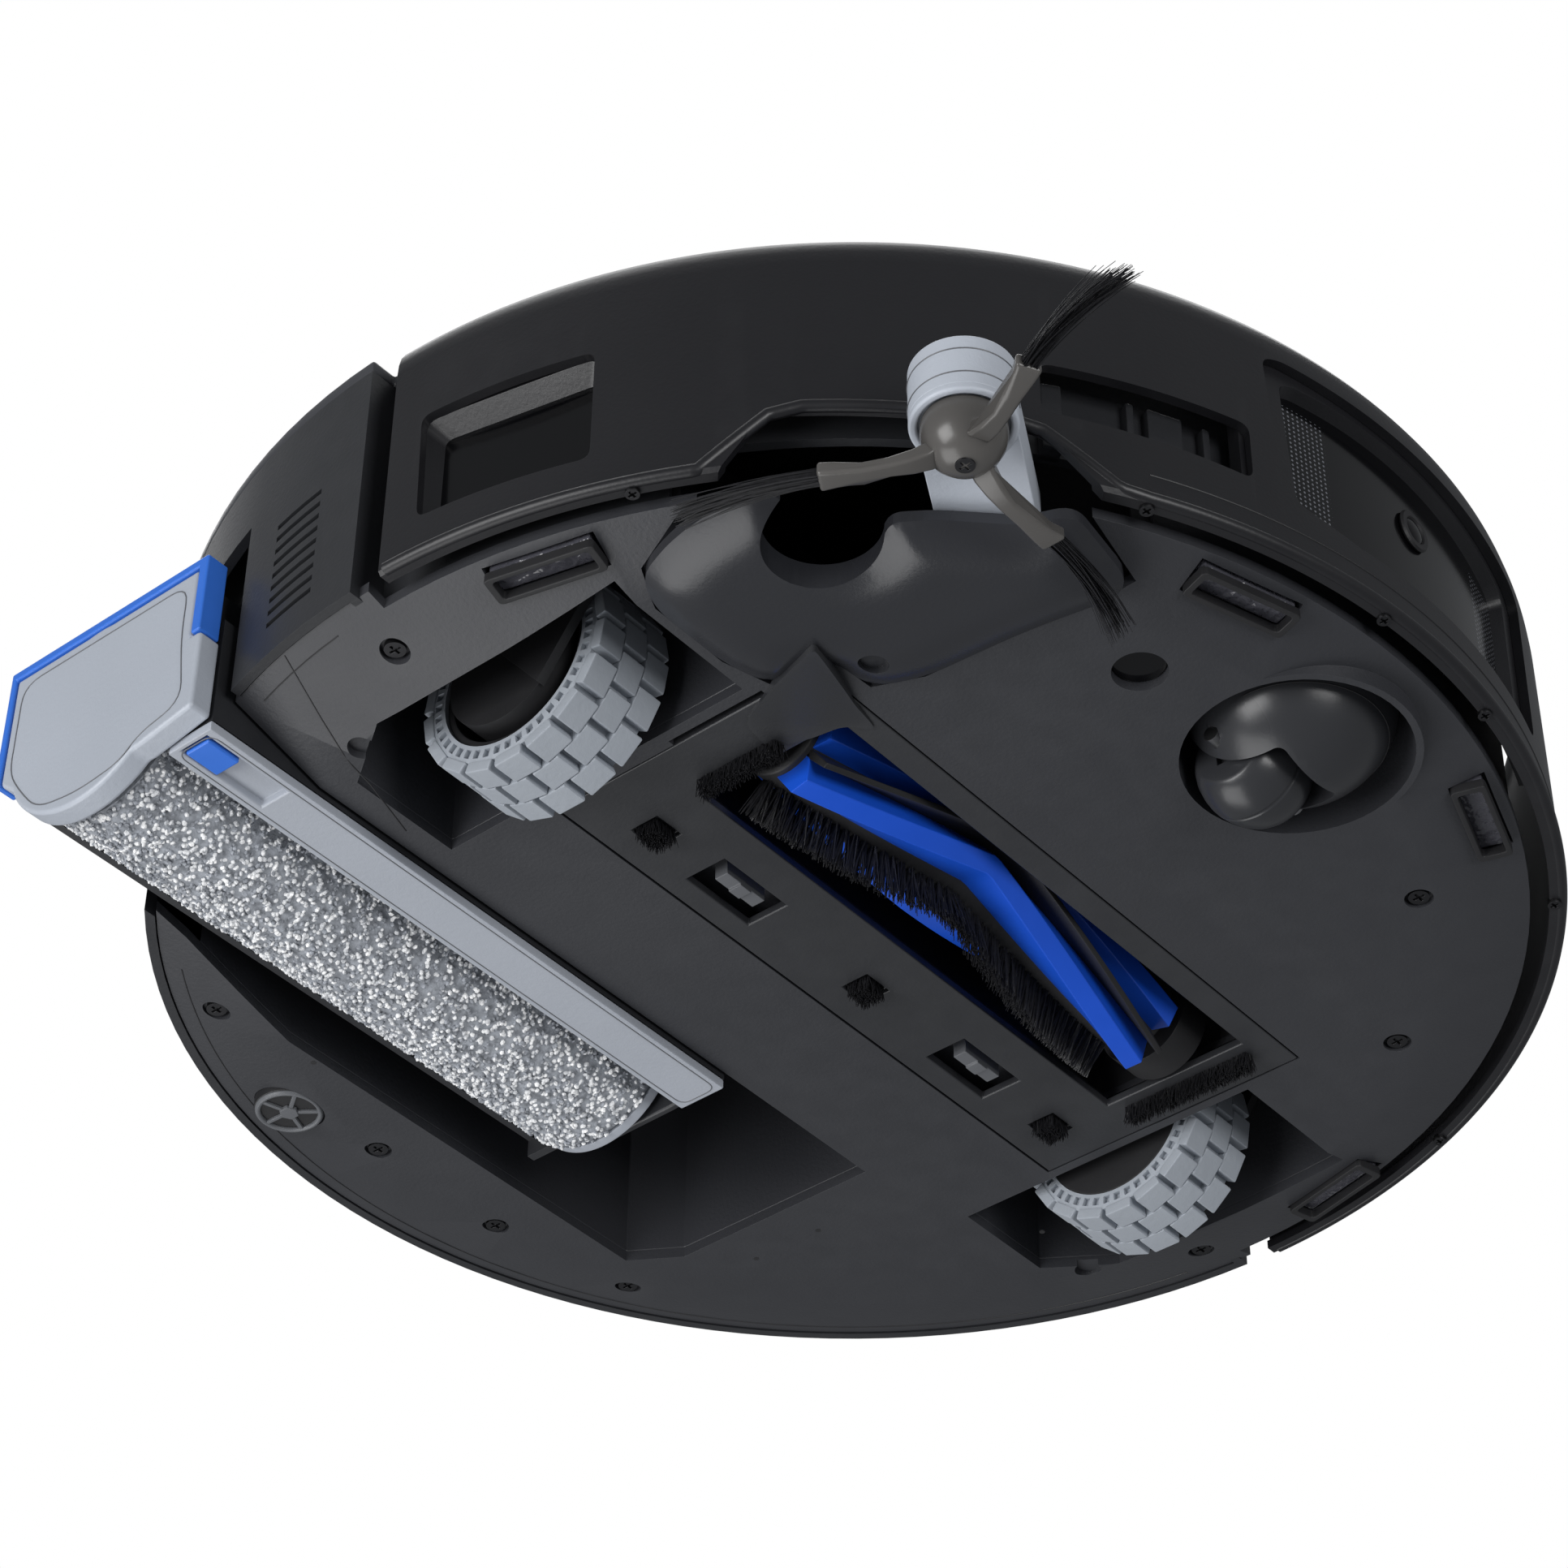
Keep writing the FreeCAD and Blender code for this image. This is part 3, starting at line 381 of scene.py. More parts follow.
def paint(tree, colour):
    """Joins a colour to the material's main shader."""
    tree.links.new(colour, tree.nodes["Principled BSDF"].inputs["Base Color"])


def maths(tree, operation, *values):
    """One sum on numbers or sockets."""
    return add(tree, "Math", dict(enumerate(values)), operation=operation).outputs[0]


def noise(tree, scale, **more):
    """Noise from 0 to 1 that stays with its piece."""
    node = add(tree, "TexNoise", {"Vector": place_in(tree), "Scale": scale, **more})
    return node.outputs["Fac"]


def mapped(tree, value, low, high, start=0.0, end=1.0):
    """The value stretched from between low and high to between start and end."""
    node = add(tree, "MapRange", {"Value": value, "From Min": low, "From Max": high, "To Min": start,
                                  "To Max": end})
    return node.outputs["Result"]


def make_grain_group():
    """Fine grain as a height, and a slow blotchiness as a mask from 0 to 1."""
    tree, given, out = group("moulded_grain", [("Size", "NodeSocketFloat", 900.0)],
                             [("Height", "NodeSocketFloat"), ("Blotch", "NodeSocketFloat")])
    fine = noise(tree, given.outputs["Size"], Detail=3.0, Roughness=0.6)
    tree.links.new(fine, out.inputs["Height"])
    tree.links.new(noise(tree, 14.0, Detail=2.0), out.inputs["Blotch"])
    return tree


def make_wear_group():
    """A mask that is 1 on convex edges, broken up by noise."""
    tree, given, out = group("edge_wear", [("Amount", "NodeSocketFloat", 0.5)],
                             [("Mask", "NodeSocketFloat")])
    sharp = mapped(tree, add(tree, "NewGeometry").outputs["Pointiness"], 0.505, 0.56)
    broken = mapped(tree, noise(tree, 120.0, Detail=4.0), 0.35, 0.65)
    both = maths(tree, "MULTIPLY", sharp, broken)
    tree.links.new(maths(tree, "MULTIPLY", both, given.outputs["Amount"]), out.inputs["Mask"])
    return tree


GRAIN, WEAR = make_grain_group(), make_wear_group()


def tone(red, green, blue):
    """A screen colour, 0 to 255, as the linear colour that shaders use."""
    return [(c / 12.92 if c <= 0.04045 else ((c + 0.055) / 1.055) ** 2.4) for c in
            (red / 255, green / 255, blue / 255)] + [1.0]


def plastic(name, colour, rough, grain=0.05, size=900.0, wear=0.25, coat=0.0, vary=0.06, lift=1.25,
            spec=0.5):
    """Moulded plastic: grain in the bump, blotches in the gloss, and paler worn edges."""
    material, tree, shader = blank(name)
    texture = add(tree, "Group", node_tree=GRAIN)
    texture.inputs["Size"].default_value = size
    worn = add(tree, "Group", node_tree=WEAR)
    worn.inputs["Amount"].default_value = wear
    base = blend(tree, texture.outputs["Blotch"], scaled(colour, 1 - vary), scaled(colour, 1 + vary))
    rubbed = [min(1, c * lift + 0.01) for c in colour[:3]] + [1]
    gloss = mapped(tree, texture.outputs["Blotch"], 0.3, 0.7, rough - 0.05, rough + 0.05)
    bump = add(tree, "Bump", {"Height": texture.outputs["Height"], "Strength": grain,
                              "Distance": 0.4 * MM})
    paint(tree, blend(tree, worn.outputs["Mask"], base, rubbed))
    tree.links.new(gloss, shader.inputs["Roughness"])
    tree.links.new(bump.outputs["Normal"], shader.inputs["Normal"])
    shader.inputs["Specular IOR Level"].default_value = spec
    shader.inputs["Coat Weight"].default_value = coat
    shader.inputs["Coat Roughness"].default_value = 0.15
    return material


# %% The plain finishes
BASE = plastic("fine_grained_base", tone(50, 51, 55), 0.44, grain=0.22)
BUMPER = plastic("bumper_plastic", tone(26, 26, 29), 0.38, grain=0.12)
REAR = plastic("rear_shell_plastic", tone(42, 43, 46), 0.38, grain=0.15)
HOOD = plastic("hood_plastic", tone(44, 45, 49), 0.28, grain=0.10)
GUARD = plastic("guard_plastic", tone(46, 47, 50), 0.38, grain=0.15)
DARK = plastic("inner_dark_plastic", tone(30, 30, 32), 0.5, grain=0.1)
WINDOW = plastic("window_gloss", tone(6, 6, 8), 0.10, grain=0.0, wear=0, coat=0.2, spec=0.35)
SILVER = plastic("silver_cover", tone(62, 63, 67), 0.30, grain=0.08, wear=0.2)
LID = plastic("lid_plastic", tone(74, 75, 79), 0.38, grain=0.15)
INNER = plastic("inner_grey_plastic", tone(96, 98, 102), 0.45)
ARM = plastic("pale_grey_arm", tone(184, 190, 200), 0.42, grain=0.25, lift=1.05, size=700.0)
CAP = plastic("pale_grey_cap", tone(174, 180, 190), 0.40, grain=0.25, lift=1.05, size=700.0)
BRACKET = plastic("bracket_grey", tone(168, 173, 182), 0.42, grain=0.2, lift=1.08)
BLUE = plastic("blue_trim", tone(52, 112, 212), 0.30, grain=0.05, lift=1.2)
CORE = plastic("blue_brush_core", tone(22, 82, 205), 0.30, grain=0.04, lift=1.3)
HUB = plastic("warm_grey_hub", tone(84, 82, 80), 0.26, grain=0.05)
TYRE = plastic("pale_tyre", tone(158, 164, 172), 0.6, grain=0.3, lift=1.1, size=500.0)
RUBBER = plastic("black_rubber", tone(26, 26, 28), 0.55, grain=0.15)
CASTER = plastic("caster_plastic", tone(46, 47, 50), 0.30, grain=0.05)
TANK = plastic("smoky_tank", tone(90, 100, 110), 0.2, grain=0.02)


def metal(name, colour, rough):
    material = plastic(name, colour, rough, grain=0.05, size=1500.0, wear=0.1)
    material.node_tree.nodes["Principled BSDF"].inputs["Metallic"].default_value = 1.0
    return material


STEEL = metal("bare_steel", tone(150, 150, 152), 0.35)
BLACK_STEEL = metal("blackened_steel", tone(70, 70, 72), 0.38)
BRASS = metal("plated_contact", tone(205, 170, 100), 0.3)


def lens(name):
    """Clear moulded lens: smooth glass with a little ripple."""
    material, tree, shader = blank(name)
    shader.inputs["Base Color"].default_value = (0.10, 0.10, 0.12, 1)
    shader.inputs["Roughness"].default_value = 0.05
    shader.inputs["Transmission Weight"].default_value = 0.35
    shader.inputs["IOR"].default_value = 1.5
    bump = add(tree, "Bump", {"Height": noise(tree, 300.0), "Strength": 0.8, "Distance": 1.5 * MM})
    tree.links.new(bump.outputs["Normal"], shader.inputs["Normal"])
    return material


LENS = lens("clear_lens")
print(len(bpy.data.materials), "materials")

# %% [markdown]
# ## The casing
# The underside, the rear shell and the cover ring have the right shape in CAD. They are copied, their
# loose triangles merged into faces, and every edge eased with a bevel, as on a moulding.

# %% Underside, rear shell and top
for node, width, finish, body, slot in (
    ("base_plate", 0.5, BASE, "casing", "charcoal"),
    ("mop_bay", 0.5, BASE, "casing", "charcoal"),
    ("wheel_wells", 0.5, BASE, "casing", "charcoal"),
    ("side_shell", 0.6, REAR, "casing", "bumper_black"),
    ("top_ring", 0.9, SILVER, "casing", "silver_trim"),
    ("top_lid", 0.4, LID, "lid", "lid_grey"),
    ("carpet_sensor", 0.5, WINDOW, "casing", "window_black"),
    ("cliff_lenses", 0.6, LENS, "casing", "clear_lens"),
):
    dress(soften(node, width), finish, body)
for side in ("right", "left"):
    dress(soften(side + "_wheel_hub", 0.6), DARK, side + "_wheel")
    dress(soften(side + "_wheel_arm", 0.8), DARK, side + "_suspension")
    dress(soften(side + "_guard_latch", 0.5), INNER, side + "_latch")
dress(soften("brush_bearing", 0.8), RUBBER, "casing")
dress(soften("base_screws", 0.15), BLACK_STEEL, "casing")

# %% [markdown]
# ## The bumper
# The bumper is a half ring. Its wall is turned from a profile whose top corner is rounded. Openings are
# cut with prisms that point at the middle, and the lower lip is a tube that follows the bottom edge.

# %% Bumper wall
START, SWEEP = 182, 176
OUTSIDE, INSIDE, LEDGE = 175.5, 173, 171.8
wall_profile = [(OUTSIDE, 12), (OUTSIDE, 70), (175.3, 73.5), (174.7, 76.3), (173.6, 78.5), (172.4, 79.6),
                (LEDGE, 80), (LEDGE, 78.4), (172.6, 76.5), (INSIDE, 74), (INSIDE, 9.4), (LEDGE, 9.1),
                (LEDGE, 6.7), (174.6, 6.6), (OUTSIDE, 7.6)]
bumper = turned("bumper_wall", wall_profile, start=START, sweep=SWEEP, steps=176)


def window_prism(name, angle, corners, near, far, radius):
    """A rounded prism pointing at the middle; corners are (along the wall, height)."""
    prism = plate(name, rounded(corners, radius), -far, -near, "y")
    prism.data.transform(spun(angle + 90, "Z"))
    return prism


NOTCH = (-136.5, [(-45, 2), (-32, 23.5), (29, 21.5), (46, 2)])
SIDE_WINDOW = (-167.5, [(-22, 18.5), (-23, 51), (22.5, 51), (22.5, 17.5)])
VENT = (-118.3, [(-27, 27), (-27, 42), (25, 42), (25, 25)])
FRONT_WINDOW = (-90, [(-52, 21), (-55, 67), (-50, 69), (50, 69), (55, 67), (52, 21)])
THROUGH = (150, 190)
for opening, corner in ((NOTCH, 5), (SIDE_WINDOW, 3), (VENT, 3), (FRONT_WINDOW, 4)):
    hollow(bumper, window_prism("opening_tool", *opening, *THROUGH, corner))
ease(bumper, 0.9, 3)
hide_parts("bumper")
dress(bumper, BUMPER, "bumper_body")


# %% Lower lip
def rope(name, points, radius, sides=3, closed=False):
    """A smooth tube through points in mm, made from a curve and then turned into a mesh."""
    curve = bpy.data.curves.new(name, "CURVE")
    curve.dimensions = "3D"
    curve.bevel_depth = radius * MM
    curve.bevel_resolution = sides
    curve.use_fill_caps = True
    line = curve.splines.new("POLY")
    line.points.add(len(points) - 1)
    for spot, point in zip(line.points, points):
        spot.co = (*(Vector(point) * MM), 1)
    line.use_cyclic_u = closed
    pick(linked(name, curve))
    bpy.ops.object.convert(target="MESH")
    return smooth(named(name), 50)


LIP_STEPS = [(-180, 8), (-152, 8), (-147, 22.6), (-144.5, 24.6), (-129.5, 23.4), (-127, 21.6),
             (-121.3, 8.6), (-119, 8), (0, 8)]


def lip_height(angle):
    """The bottom edge runs at 8 mm and climbs over the side brush."""
    for (a, low), (b, high) in zip(LIP_STEPS, LIP_STEPS[1:]):
        if a <= angle <= b:
            return low + (high - low) * (angle - a) / (b - a)
    return LIP_STEPS[-1][1]


lip_points = [(*around(174.7, a / 2), lip_height(a / 2)) for a in range(-355, -4)]
dress(rope("bumper_lip", lip_points, 1.6, 4), BUMPER, "bumper_body")
band_points = [(*around(175.45, a / 2), 14.5) for a in range(-238, -8)]
dress(rope("bumper_seam", band_points, 0.22, 1), DARK, "bumper_body")

# %% [markdown]
# ## Windows in the bumper
# The side window is a frame that narrows inwards to a gloss panel. The front window is a curved gloss
# panel whose two sides are finely perforated: a grid of dots in the material.


# %% Window frames and panels
def tapered(name, corners, near, far, across, upright, radius=3):
    """A prism along Y that is full size at its far side and narrower at its near side."""
    tool = plate(name, rounded(corners, radius), -far, -near, "y")
    middle = sum(height for _, height in corners) / len(corners)
    for vertex in tool.data.vertices:
        if vertex.co.y > -(near + far) / 2 * MM:
            vertex.co.x *= across
            vertex.co.z = (middle + (vertex.co.z / MM - middle) * upright) * MM
    return tool


def window_frame(name, angle, corners, front, deep, panel_name):
    """A slab behind the wall with an opening that narrows inwards, and the panel that closes it."""
    frame_piece = plate(name, rounded(corners, 4), -front, -(deep - 1), "y")
    middle = sum(height for _, height in corners) / 4
    opening = [(t * 0.94, middle + (h - middle) * 0.9) for t, h in corners]
    hollow(frame_piece, tapered("taper_tool", opening, deep - 2, front + 1, 0.74, 0.62))
    ease(frame_piece, 0.3)
    panel = plate(panel_name, rounded([(t * 0.86, middle + (h - middle) * 0.8) for t, h in corners], 3),
                  -(deep + 0.3), -(deep - 1), "y")
    ease(panel, 0.2)
    for piece in (frame_piece, panel):
        piece.data.transform(spun(angle + 90, "Z"))
    return frame_piece, panel


side_frame, side_panel = window_frame("side_window_frame", SIDE_WINDOW[0],
                                      [(-26, 15), (-26, 54), (26, 54), (26, 15)],
                                      172.2, 167.5, "side_window_panel")
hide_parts("side_window")
dress(side_frame, BUMPER, "bumper_body")
dress(side_panel, WINDOW, "bumper_body")


HOLES_PER_METRE = 700.0


def perforated(name):
    """Gloss black with a grid of pale pinholes in two side areas."""
    material = plastic(name, tone(7, 7, 9), 0.12, grain=0.0, wear=0, coat=0.2, spec=0.3)
    tree = material.node_tree
    place = add(tree, "SeparateXYZ", {0: place_in(tree)})
    squares = []
    for axis in ("X", "Z"):
        cell = maths(tree, "FRACT", maths(tree, "MULTIPLY", place.outputs[axis], HOLES_PER_METRE))
        squares.append(maths(tree, "POWER", maths(tree, "SUBTRACT", cell, 0.5), 2.0))
    dots = maths(tree, "LESS_THAN", maths(tree, "ADD", *squares), 0.05)
    side = maths(tree, "GREATER_THAN", maths(tree, "ABSOLUTE", place.outputs["X"]), 31 * MM)
    low = maths(tree, "LESS_THAN", place.outputs["Z"], 62 * MM)
    mask = maths(tree, "MULTIPLY", dots, maths(tree, "MULTIPLY", side, low))
    paint(tree, blend(tree, mask, tone(7, 7, 9), tone(110, 112, 118)))
    return material


front_frame = turned("front_window_frame", [(168.9, 16.5), (172.9, 16.5), (172.9, 73), (168.9, 73)],
                     start=249.5, sweep=41, steps=60)
hollow(front_frame, tapered("front_taper_tool", FRONT_WINDOW[1], 160, 177, 0.80, 0.66, 4))
ease(front_frame, 0.3)
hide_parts("front_window")
dress(front_frame, BUMPER, "bumper_body")
front_panel = turned("front_window_panel", [(169.8, 18), (169.8, 71), (168.7, 71), (168.7, 18)],
                     start=251, sweep=38, steps=48)
ease(front_panel, 0.2)
dress(front_panel, perforated("perforated_window"), "bumper_body")
camera_ring = turned("camera_ring", [(3.2, 0), (5.4, 0), (5.6, 0.5), (5.2, 1.1), (3.8, 1.1)], steps=40)
EYE_AT = moved((0, -170, 50))
camera_ring.data.transform(EYE_AT @ spun(90, "X"))
dress(outward(camera_ring), DARK, "bumper_body")
camera_eye = ball("camera_eye", (0, 0, 0), 4, 12, (1, 0.35, 1))
camera_eye.data.transform(EYE_AT)
dress(smooth(camera_eye), WINDOW, "bumper_body")

# %% [markdown]
# ## Behind the bumper
# The gap under the bumper and the long opening look in on a dark wall that belongs to the casing, with
# a few posts on it. The wall has a notch for the arm of the side brush.

# %% Inner wall and posts
inner_wall = turned("inner_front_wall", [(162, 11), (163.5, 11), (163.5, 77), (162, 77)],
                    start=184, sweep=172, steps=120)
wall_notch = [(-50, 2), (-50, 27), (50, 27), (50, 2)]
hollow(inner_wall, window_prism("wall_notch_tool", NOTCH[0], wall_notch, *THROUGH, 2))
dress(ease(inner_wall, 0.2), DARK, "casing")
posts = []
for angle, width in ((-125.5, 5), (-119, 2), (-116, 9), (-112.3, 2)):
    post = block(f"post_{-angle}", (-width / 2, width / 2), (-168, -163), (24, 44))
    post.data.transform(spun(angle + 90, "Z"))
    posts.append(ease(post, 0.5))
dress(joined("vent_posts", *posts), REAR, "casing")
rib_points = [(*around(165.2, a), 8.6) for a in range(-116, -8, 2)]
dress(rope("gap_rib", rib_points, 0.9, 2), DARK, "casing")

# %% [markdown]
# ## The hood over the side brush drive
# This is a smooth swelling of the underside. Its lower face is cut into small squares, and each of
# their corners is moved down by an amount that grows with its distance from the outline.

# %% Smooth hood
HOOD_EDGE = [(-98, -142), (-101.7, -132), (-116, -117.4), (-121.4, -109.5), (-118.5, -104.5),
             (-118.5, -97), (-146, -95), (-149, -90), (-148, -70), (-143, -56), (-133, -51.5),
             (-110, -51.5), (-97, -55), (-97, -71), (-82, -72), (-77, -84), (-75, -110), (-70, -138)]
HOOD_DEPTH, SHOULDER = 4.4, 15
PARKED, PARK_RADIUS, HOOD_SCREW = (-128.5, -96), 13.6, (-91, -80)
hood = swelling("smooth_hood", rounded(HOOD_EDGE, 9, 6), 3,
                lambda spot, away: HOOD_DEPTH * (1 - (1 - min(1, away / SHOULDER)) ** 2.4))
hollow(hood, bar("park_notch_tool", (*PARKED, -9), (*PARKED, 9), PARK_RADIUS, 64),
       bar("hood_screw_tool", (*HOOD_SCREW, -9), (*HOOD_SCREW, -1.5), 3.6))
ease(hood, 0.4, 3, 50)
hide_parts("gearbox_hood")
dress(hood, HOOD, "casing")

# %% [markdown]
# ## Drive wheels
# The tyre is a carcass with three staggered rows of blocks and a ring of small windows in its side
# wall. One block is modelled and copied round; one tyre is modelled and copied to the other side.

# %% Tyre
WHEEL = (-116.75, -2.7, 14)
PORTS, LUGS = 44, 18
carcass = turned("carcass", [(21.5, -11.2), (24.3, -11.2), (25.7, -10.7), (26, 10.7), (24.3, 11.2),
                             (21.5, 11.2)], WHEEL, "x", steps=96)
ports = []
for x in ((-129, -126.6), (-106.9, -104.5)):
    port = block("port_tool", x, about(WHEEL[1], 1.0), (WHEEL[2] + 22.5, WHEEL[2] + 24.7))
    for k in range(PORTS):
        ports.append(copied(port, f"port_{k}", turn=(360 / PORTS * k, "X", WHEEL)))
    bpy.data.objects.remove(port)
hollow(carcass, joined("port_tools", *ports))
ease(carcass, 0.25)
lug = block("lug", about(WHEEL[0], 3.7), about(WHEEL[1], 4.0), (WHEEL[2] + 25.4, WHEEL[2] + 28.4))
ease(lug, 0.45)
lugs = []
for row, offset in ((-7.5, 0), (0, 0.5), (7.5, 0)):
    for k in range(LUGS):
        turn = (360 / LUGS * (k + offset), "X", WHEEL)
        lugs.append(copied(lug, f"lug_{row}_{k}", turn=turn, move=(row, 0, 0)))
bpy.data.objects.remove(lug)
right_tyre = smooth(joined("right_tyre_tread", carcass, *lugs), 45)
left_tyre = copied(right_tyre, "left_tyre_tread", turn=(180, "Z", (0, WHEEL[1], 0)))
for side, tyre in (("right", right_tyre), ("left", left_tyre)):
    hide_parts(side + "_tyre")
    dress(tyre, TYRE, side + "_wheel")

# %% [markdown]
# ## Main brush
# A black tube carries blue ridges that lean into a V. A ridge is a straight block, cut into many short
# lengths, whose points are then turned about the brush's axis by more towards both ends.

# %% Leaning pieces
BRUSH_Y, BRUSH_Z = -38, 11
APEX, LEFT, RIGHT = -12, -71.5, 65.5
LENGTHS = 56


def lean(x):
    """How far, in degrees, a row has turned at x: none at the point of the V, most at its ends."""
    return 0.76 * abs(x - APEX)


def row_matrix(x, angle):
    turn = spun(angle + lean(x), "X")
    axis = moved((0, BRUSH_Y, BRUSH_Z))
    return axis @ turn @ axis.inverted()


def leaning(piece, angle):
    for vertex in piece.data.vertices:
        vertex.co = row_matrix(vertex.co.x / MM, angle) @ vertex.co
    return piece


def ridge(name, angle, width, inner, outer, tip):
    """A row of the given width at its root and tip, standing between two radii."""
    root = [(BRUSH_Y - width / 2, BRUSH_Z + inner), (BRUSH_Y - tip / 2, BRUSH_Z + outer),
            (BRUSH_Y + tip / 2, BRUSH_Z + outer), (BRUSH_Y + width / 2, BRUSH_Z + inner)]
    piece = plate(name, root, LEFT, RIGHT, "x")
    open_all(piece)
    for k in range(1, LENGTHS):
        bpy.ops.mesh.select_all(action="SELECT")
        x = LEFT + (RIGHT - LEFT) * k / LENGTHS
        bpy.ops.mesh.bisect(plane_co=(x * MM, 0, 0), plane_no=(1, 0, 0))
    done()
    leaning(piece, angle)
    return ease(piece, 0.3, 2, 40)


core = turned("brush_tube", [(0, -74), (10.4, -74), (11.4, -73), (11.4, 67), (10.4, 68), (4, 68),
                             (4, 60), (0, 60)], (0, BRUSH_Y, BRUSH_Z), "x", steps=72)
ridges = [ridge(f"ridge_{a}", a, 10.5, 10, 18.0, 5.0) for a in (122, 302)]
ridges += [ridge(f"low_ridge_{a}", a, 9.5, 10, 15.5, 5.5) for a in (66, 246)]
tube = ease(core, 0.4)
blue = joined("brush_blue_ridges", *ridges)
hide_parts("brush_core")
dress(tube, RUBBER, "main_brush")
dress(smooth(blue, 45), CORE, "main_brush")
strips = joined("brush_rubber_strips",
                *[ridge(f"strip_{a}", a, 2.4, 10.5, 19.6, 1.5) for a in (97, 277)])
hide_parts("brush_blades")
dress(strips, RUBBER, "main_brush")

# %% [markdown]
# ## Bristles
# A bristle is a very thin cone with three sides. Thousands are needed, so one is modelled, and a helper
# puts all its copies into one mesh. The random turns are seeded, so each run gives the same brush.


# %% Scattering small copies
def scattered(name, template, places):
    """One mesh that holds a copy of the template's mesh at each matrix."""
    corners = [vertex.co.copy() for vertex in template.data.vertices]
    faces = [tuple(face.vertices) for face in template.data.polygons]
    points = [place @ corner for place in places for corner in corners]
    shifted = [tuple(i + k * len(corners) for i in face) for k in range(len(places)) for face in faces]
    mesh = bpy.data.meshes.new(name)
    mesh.from_pydata(points, [], shifted)
    bpy.data.objects.remove(template)
    return linked(name, mesh)


def needle(name, length, radius, tip):
    """A three-sided cone that stands on the origin; its end is the tip's share of the radius."""
    clear()
    bpy.ops.mesh.primitive_cone_add(vertices=3, radius1=radius * MM, radius2=radius * tip * MM,
                                    depth=length * MM, location=(0, 0, length / 2 * MM))
    return named(name)


def bristle(length, radius):
    return needle("bristle", length, radius, 0.5)


def fibre(name, colour, rough):
    """Nylon: dark, a little shiny along its length, each strand slightly different."""
    material = plastic(name, colour, rough, grain=0.0, wear=0, vary=0.5)
    tree = material.node_tree
    cells = add(tree, "TexVoronoi", {"Vector": place_in(tree), "Scale": 900.0})
    paint(tree, blend(tree, cells.outputs["Distance"], scaled(colour, 0.5), scaled(colour, 1.5)))
    return material


NYLON = fibre("black_nylon", tone(24, 24, 27), 0.42)

# %% Rows of bristles on the main brush
chance = random.Random(4)
places = []
TUFTS, HAIRS = 46, 40
for angle in (172, 352):
    for k in range(TUFTS):
        x = LEFT + 2 + (RIGHT - LEFT - 4) * k / (TUFTS - 1)
        for _ in range(HAIRS):
            tilt = spun(chance.uniform(-13, 13), "Y") @ spun(chance.uniform(-9, 9), "X")
            foot = (x + chance.uniform(-0.9, 0.9), BRUSH_Y + chance.uniform(-1.6, 1.6), BRUSH_Z + 10.8)
            places.append(row_matrix(x, angle) @ moved(foot) @ tilt)
rows = scattered("brush_bristle_rows", bristle(10.4, 0.2), places)
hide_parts("brush_bristles")
dress(rows, NYLON, "main_brush")

# %% [markdown]
# ## The brush guard
# The guard is a flat frame with a smooth peak at one corner. Its bristles keep hair out of the bearings
# and are scattered like those of the brush, pointing down.

# %% Guard frame and its peak
PEAK = [(-106, -75), (-98.5, -57), (-91, -42), (-81, -40.5), (-77.4, -50), (-76, -59), (-70, -64),
        (-80, -66)]
TIP = Vector(PEAK[0])
peak = swelling("guard_peak", rounded(PEAK, 2.5, 4), 0,
                lambda spot, away: 0.4 + 6.2 * max(0, 1 - (spot - TIP).length / 34) ** 1.3, 1.5)
dress(soften("brush_guard", 0.6, 3), GUARD, "guard")
dress(peak, GUARD, "guard")


# %% Guard bristles
def standing(x, y, foot, count, splay, chance):
    """Places for bristles that grow down from an area at the level of the foot."""
    found = []
    for _ in range(count):
        tilt = spun(180 + chance.gauss(0, splay), "X") @ spun(chance.gauss(0, splay), "Y")
        found.append(moved((chance.uniform(*x), chance.uniform(*y), foot)) @ tilt)
    return found


chance = random.Random(9)
tufts = []
for x in (-74, 5, 81):
    tufts += standing(about(x, 3.6), about(0, 3.2), 1.1, 420, 7, chance)
guard_hair = scattered("guard_tuft_bristles", bristle(4.2, 0.16), tufts)
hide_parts("guard_tufts")
dress(guard_hair, NYLON, "guard")
ends = standing((-82.6, -79.2), (-44, -20), 0.1, 900, 10, chance)
ends += standing((86.2, 89.6), (-58, -20), 0.1, 1300, 10, chance)
end_hair = scattered("guard_end_bristles", bristle(4.8, 0.16), ends)
dress(end_hair, NYLON, "guard")

# %% [markdown]
# ## Front caster
# The housing is an egg cut open for the wheel. The tool that cuts it has rounded edges, so the opening
# gets them too. The wheel is barrel-shaped and has a square socket for its axle at each end.

# %% Caster housing and wheel
CASTER_AT, ROLL = (0, -133, 17), (0, -121, 2.6)
EGG, CUT_AT, SEAM_LEVEL, RAISED = 25, 11.5, 4.5, 0.02
egg = ball("caster_egg", CASTER_AT, EGG, 40)
above = block("above_tool", (-30, 30), (-165, -100), (33, 60))
room = bar("room_tool", (-CUT_AT, *ROLL[1:]), (CUT_AT, *ROLL[1:]), 15, 64)
ease(room, 2.2, 4)
way_out = block("exit_tool", (-CUT_AT, CUT_AT), (-136, -90), (-30, ROLL[2]))
ease(way_out, 2.2, 4)
hollow(egg, above, room, way_out, bar("axle_tool", (-18, *ROLL[1:]), (18, *ROLL[1:]), 2.02))
ease(egg, 0.9, 4, 35)
stem = bar("caster_stem", (*CASTER_AT[:2], 32), (*CASTER_AT[:2], 43), 3.98)
housing = joined("caster_housing", egg, stem)
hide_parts("caster_hood")
dress(housing, CASTER, "caster_fork")
seam_radius = math.sqrt((EGG + RAISED) ** 2 - (CASTER_AT[2] - SEAM_LEVEL) ** 2)
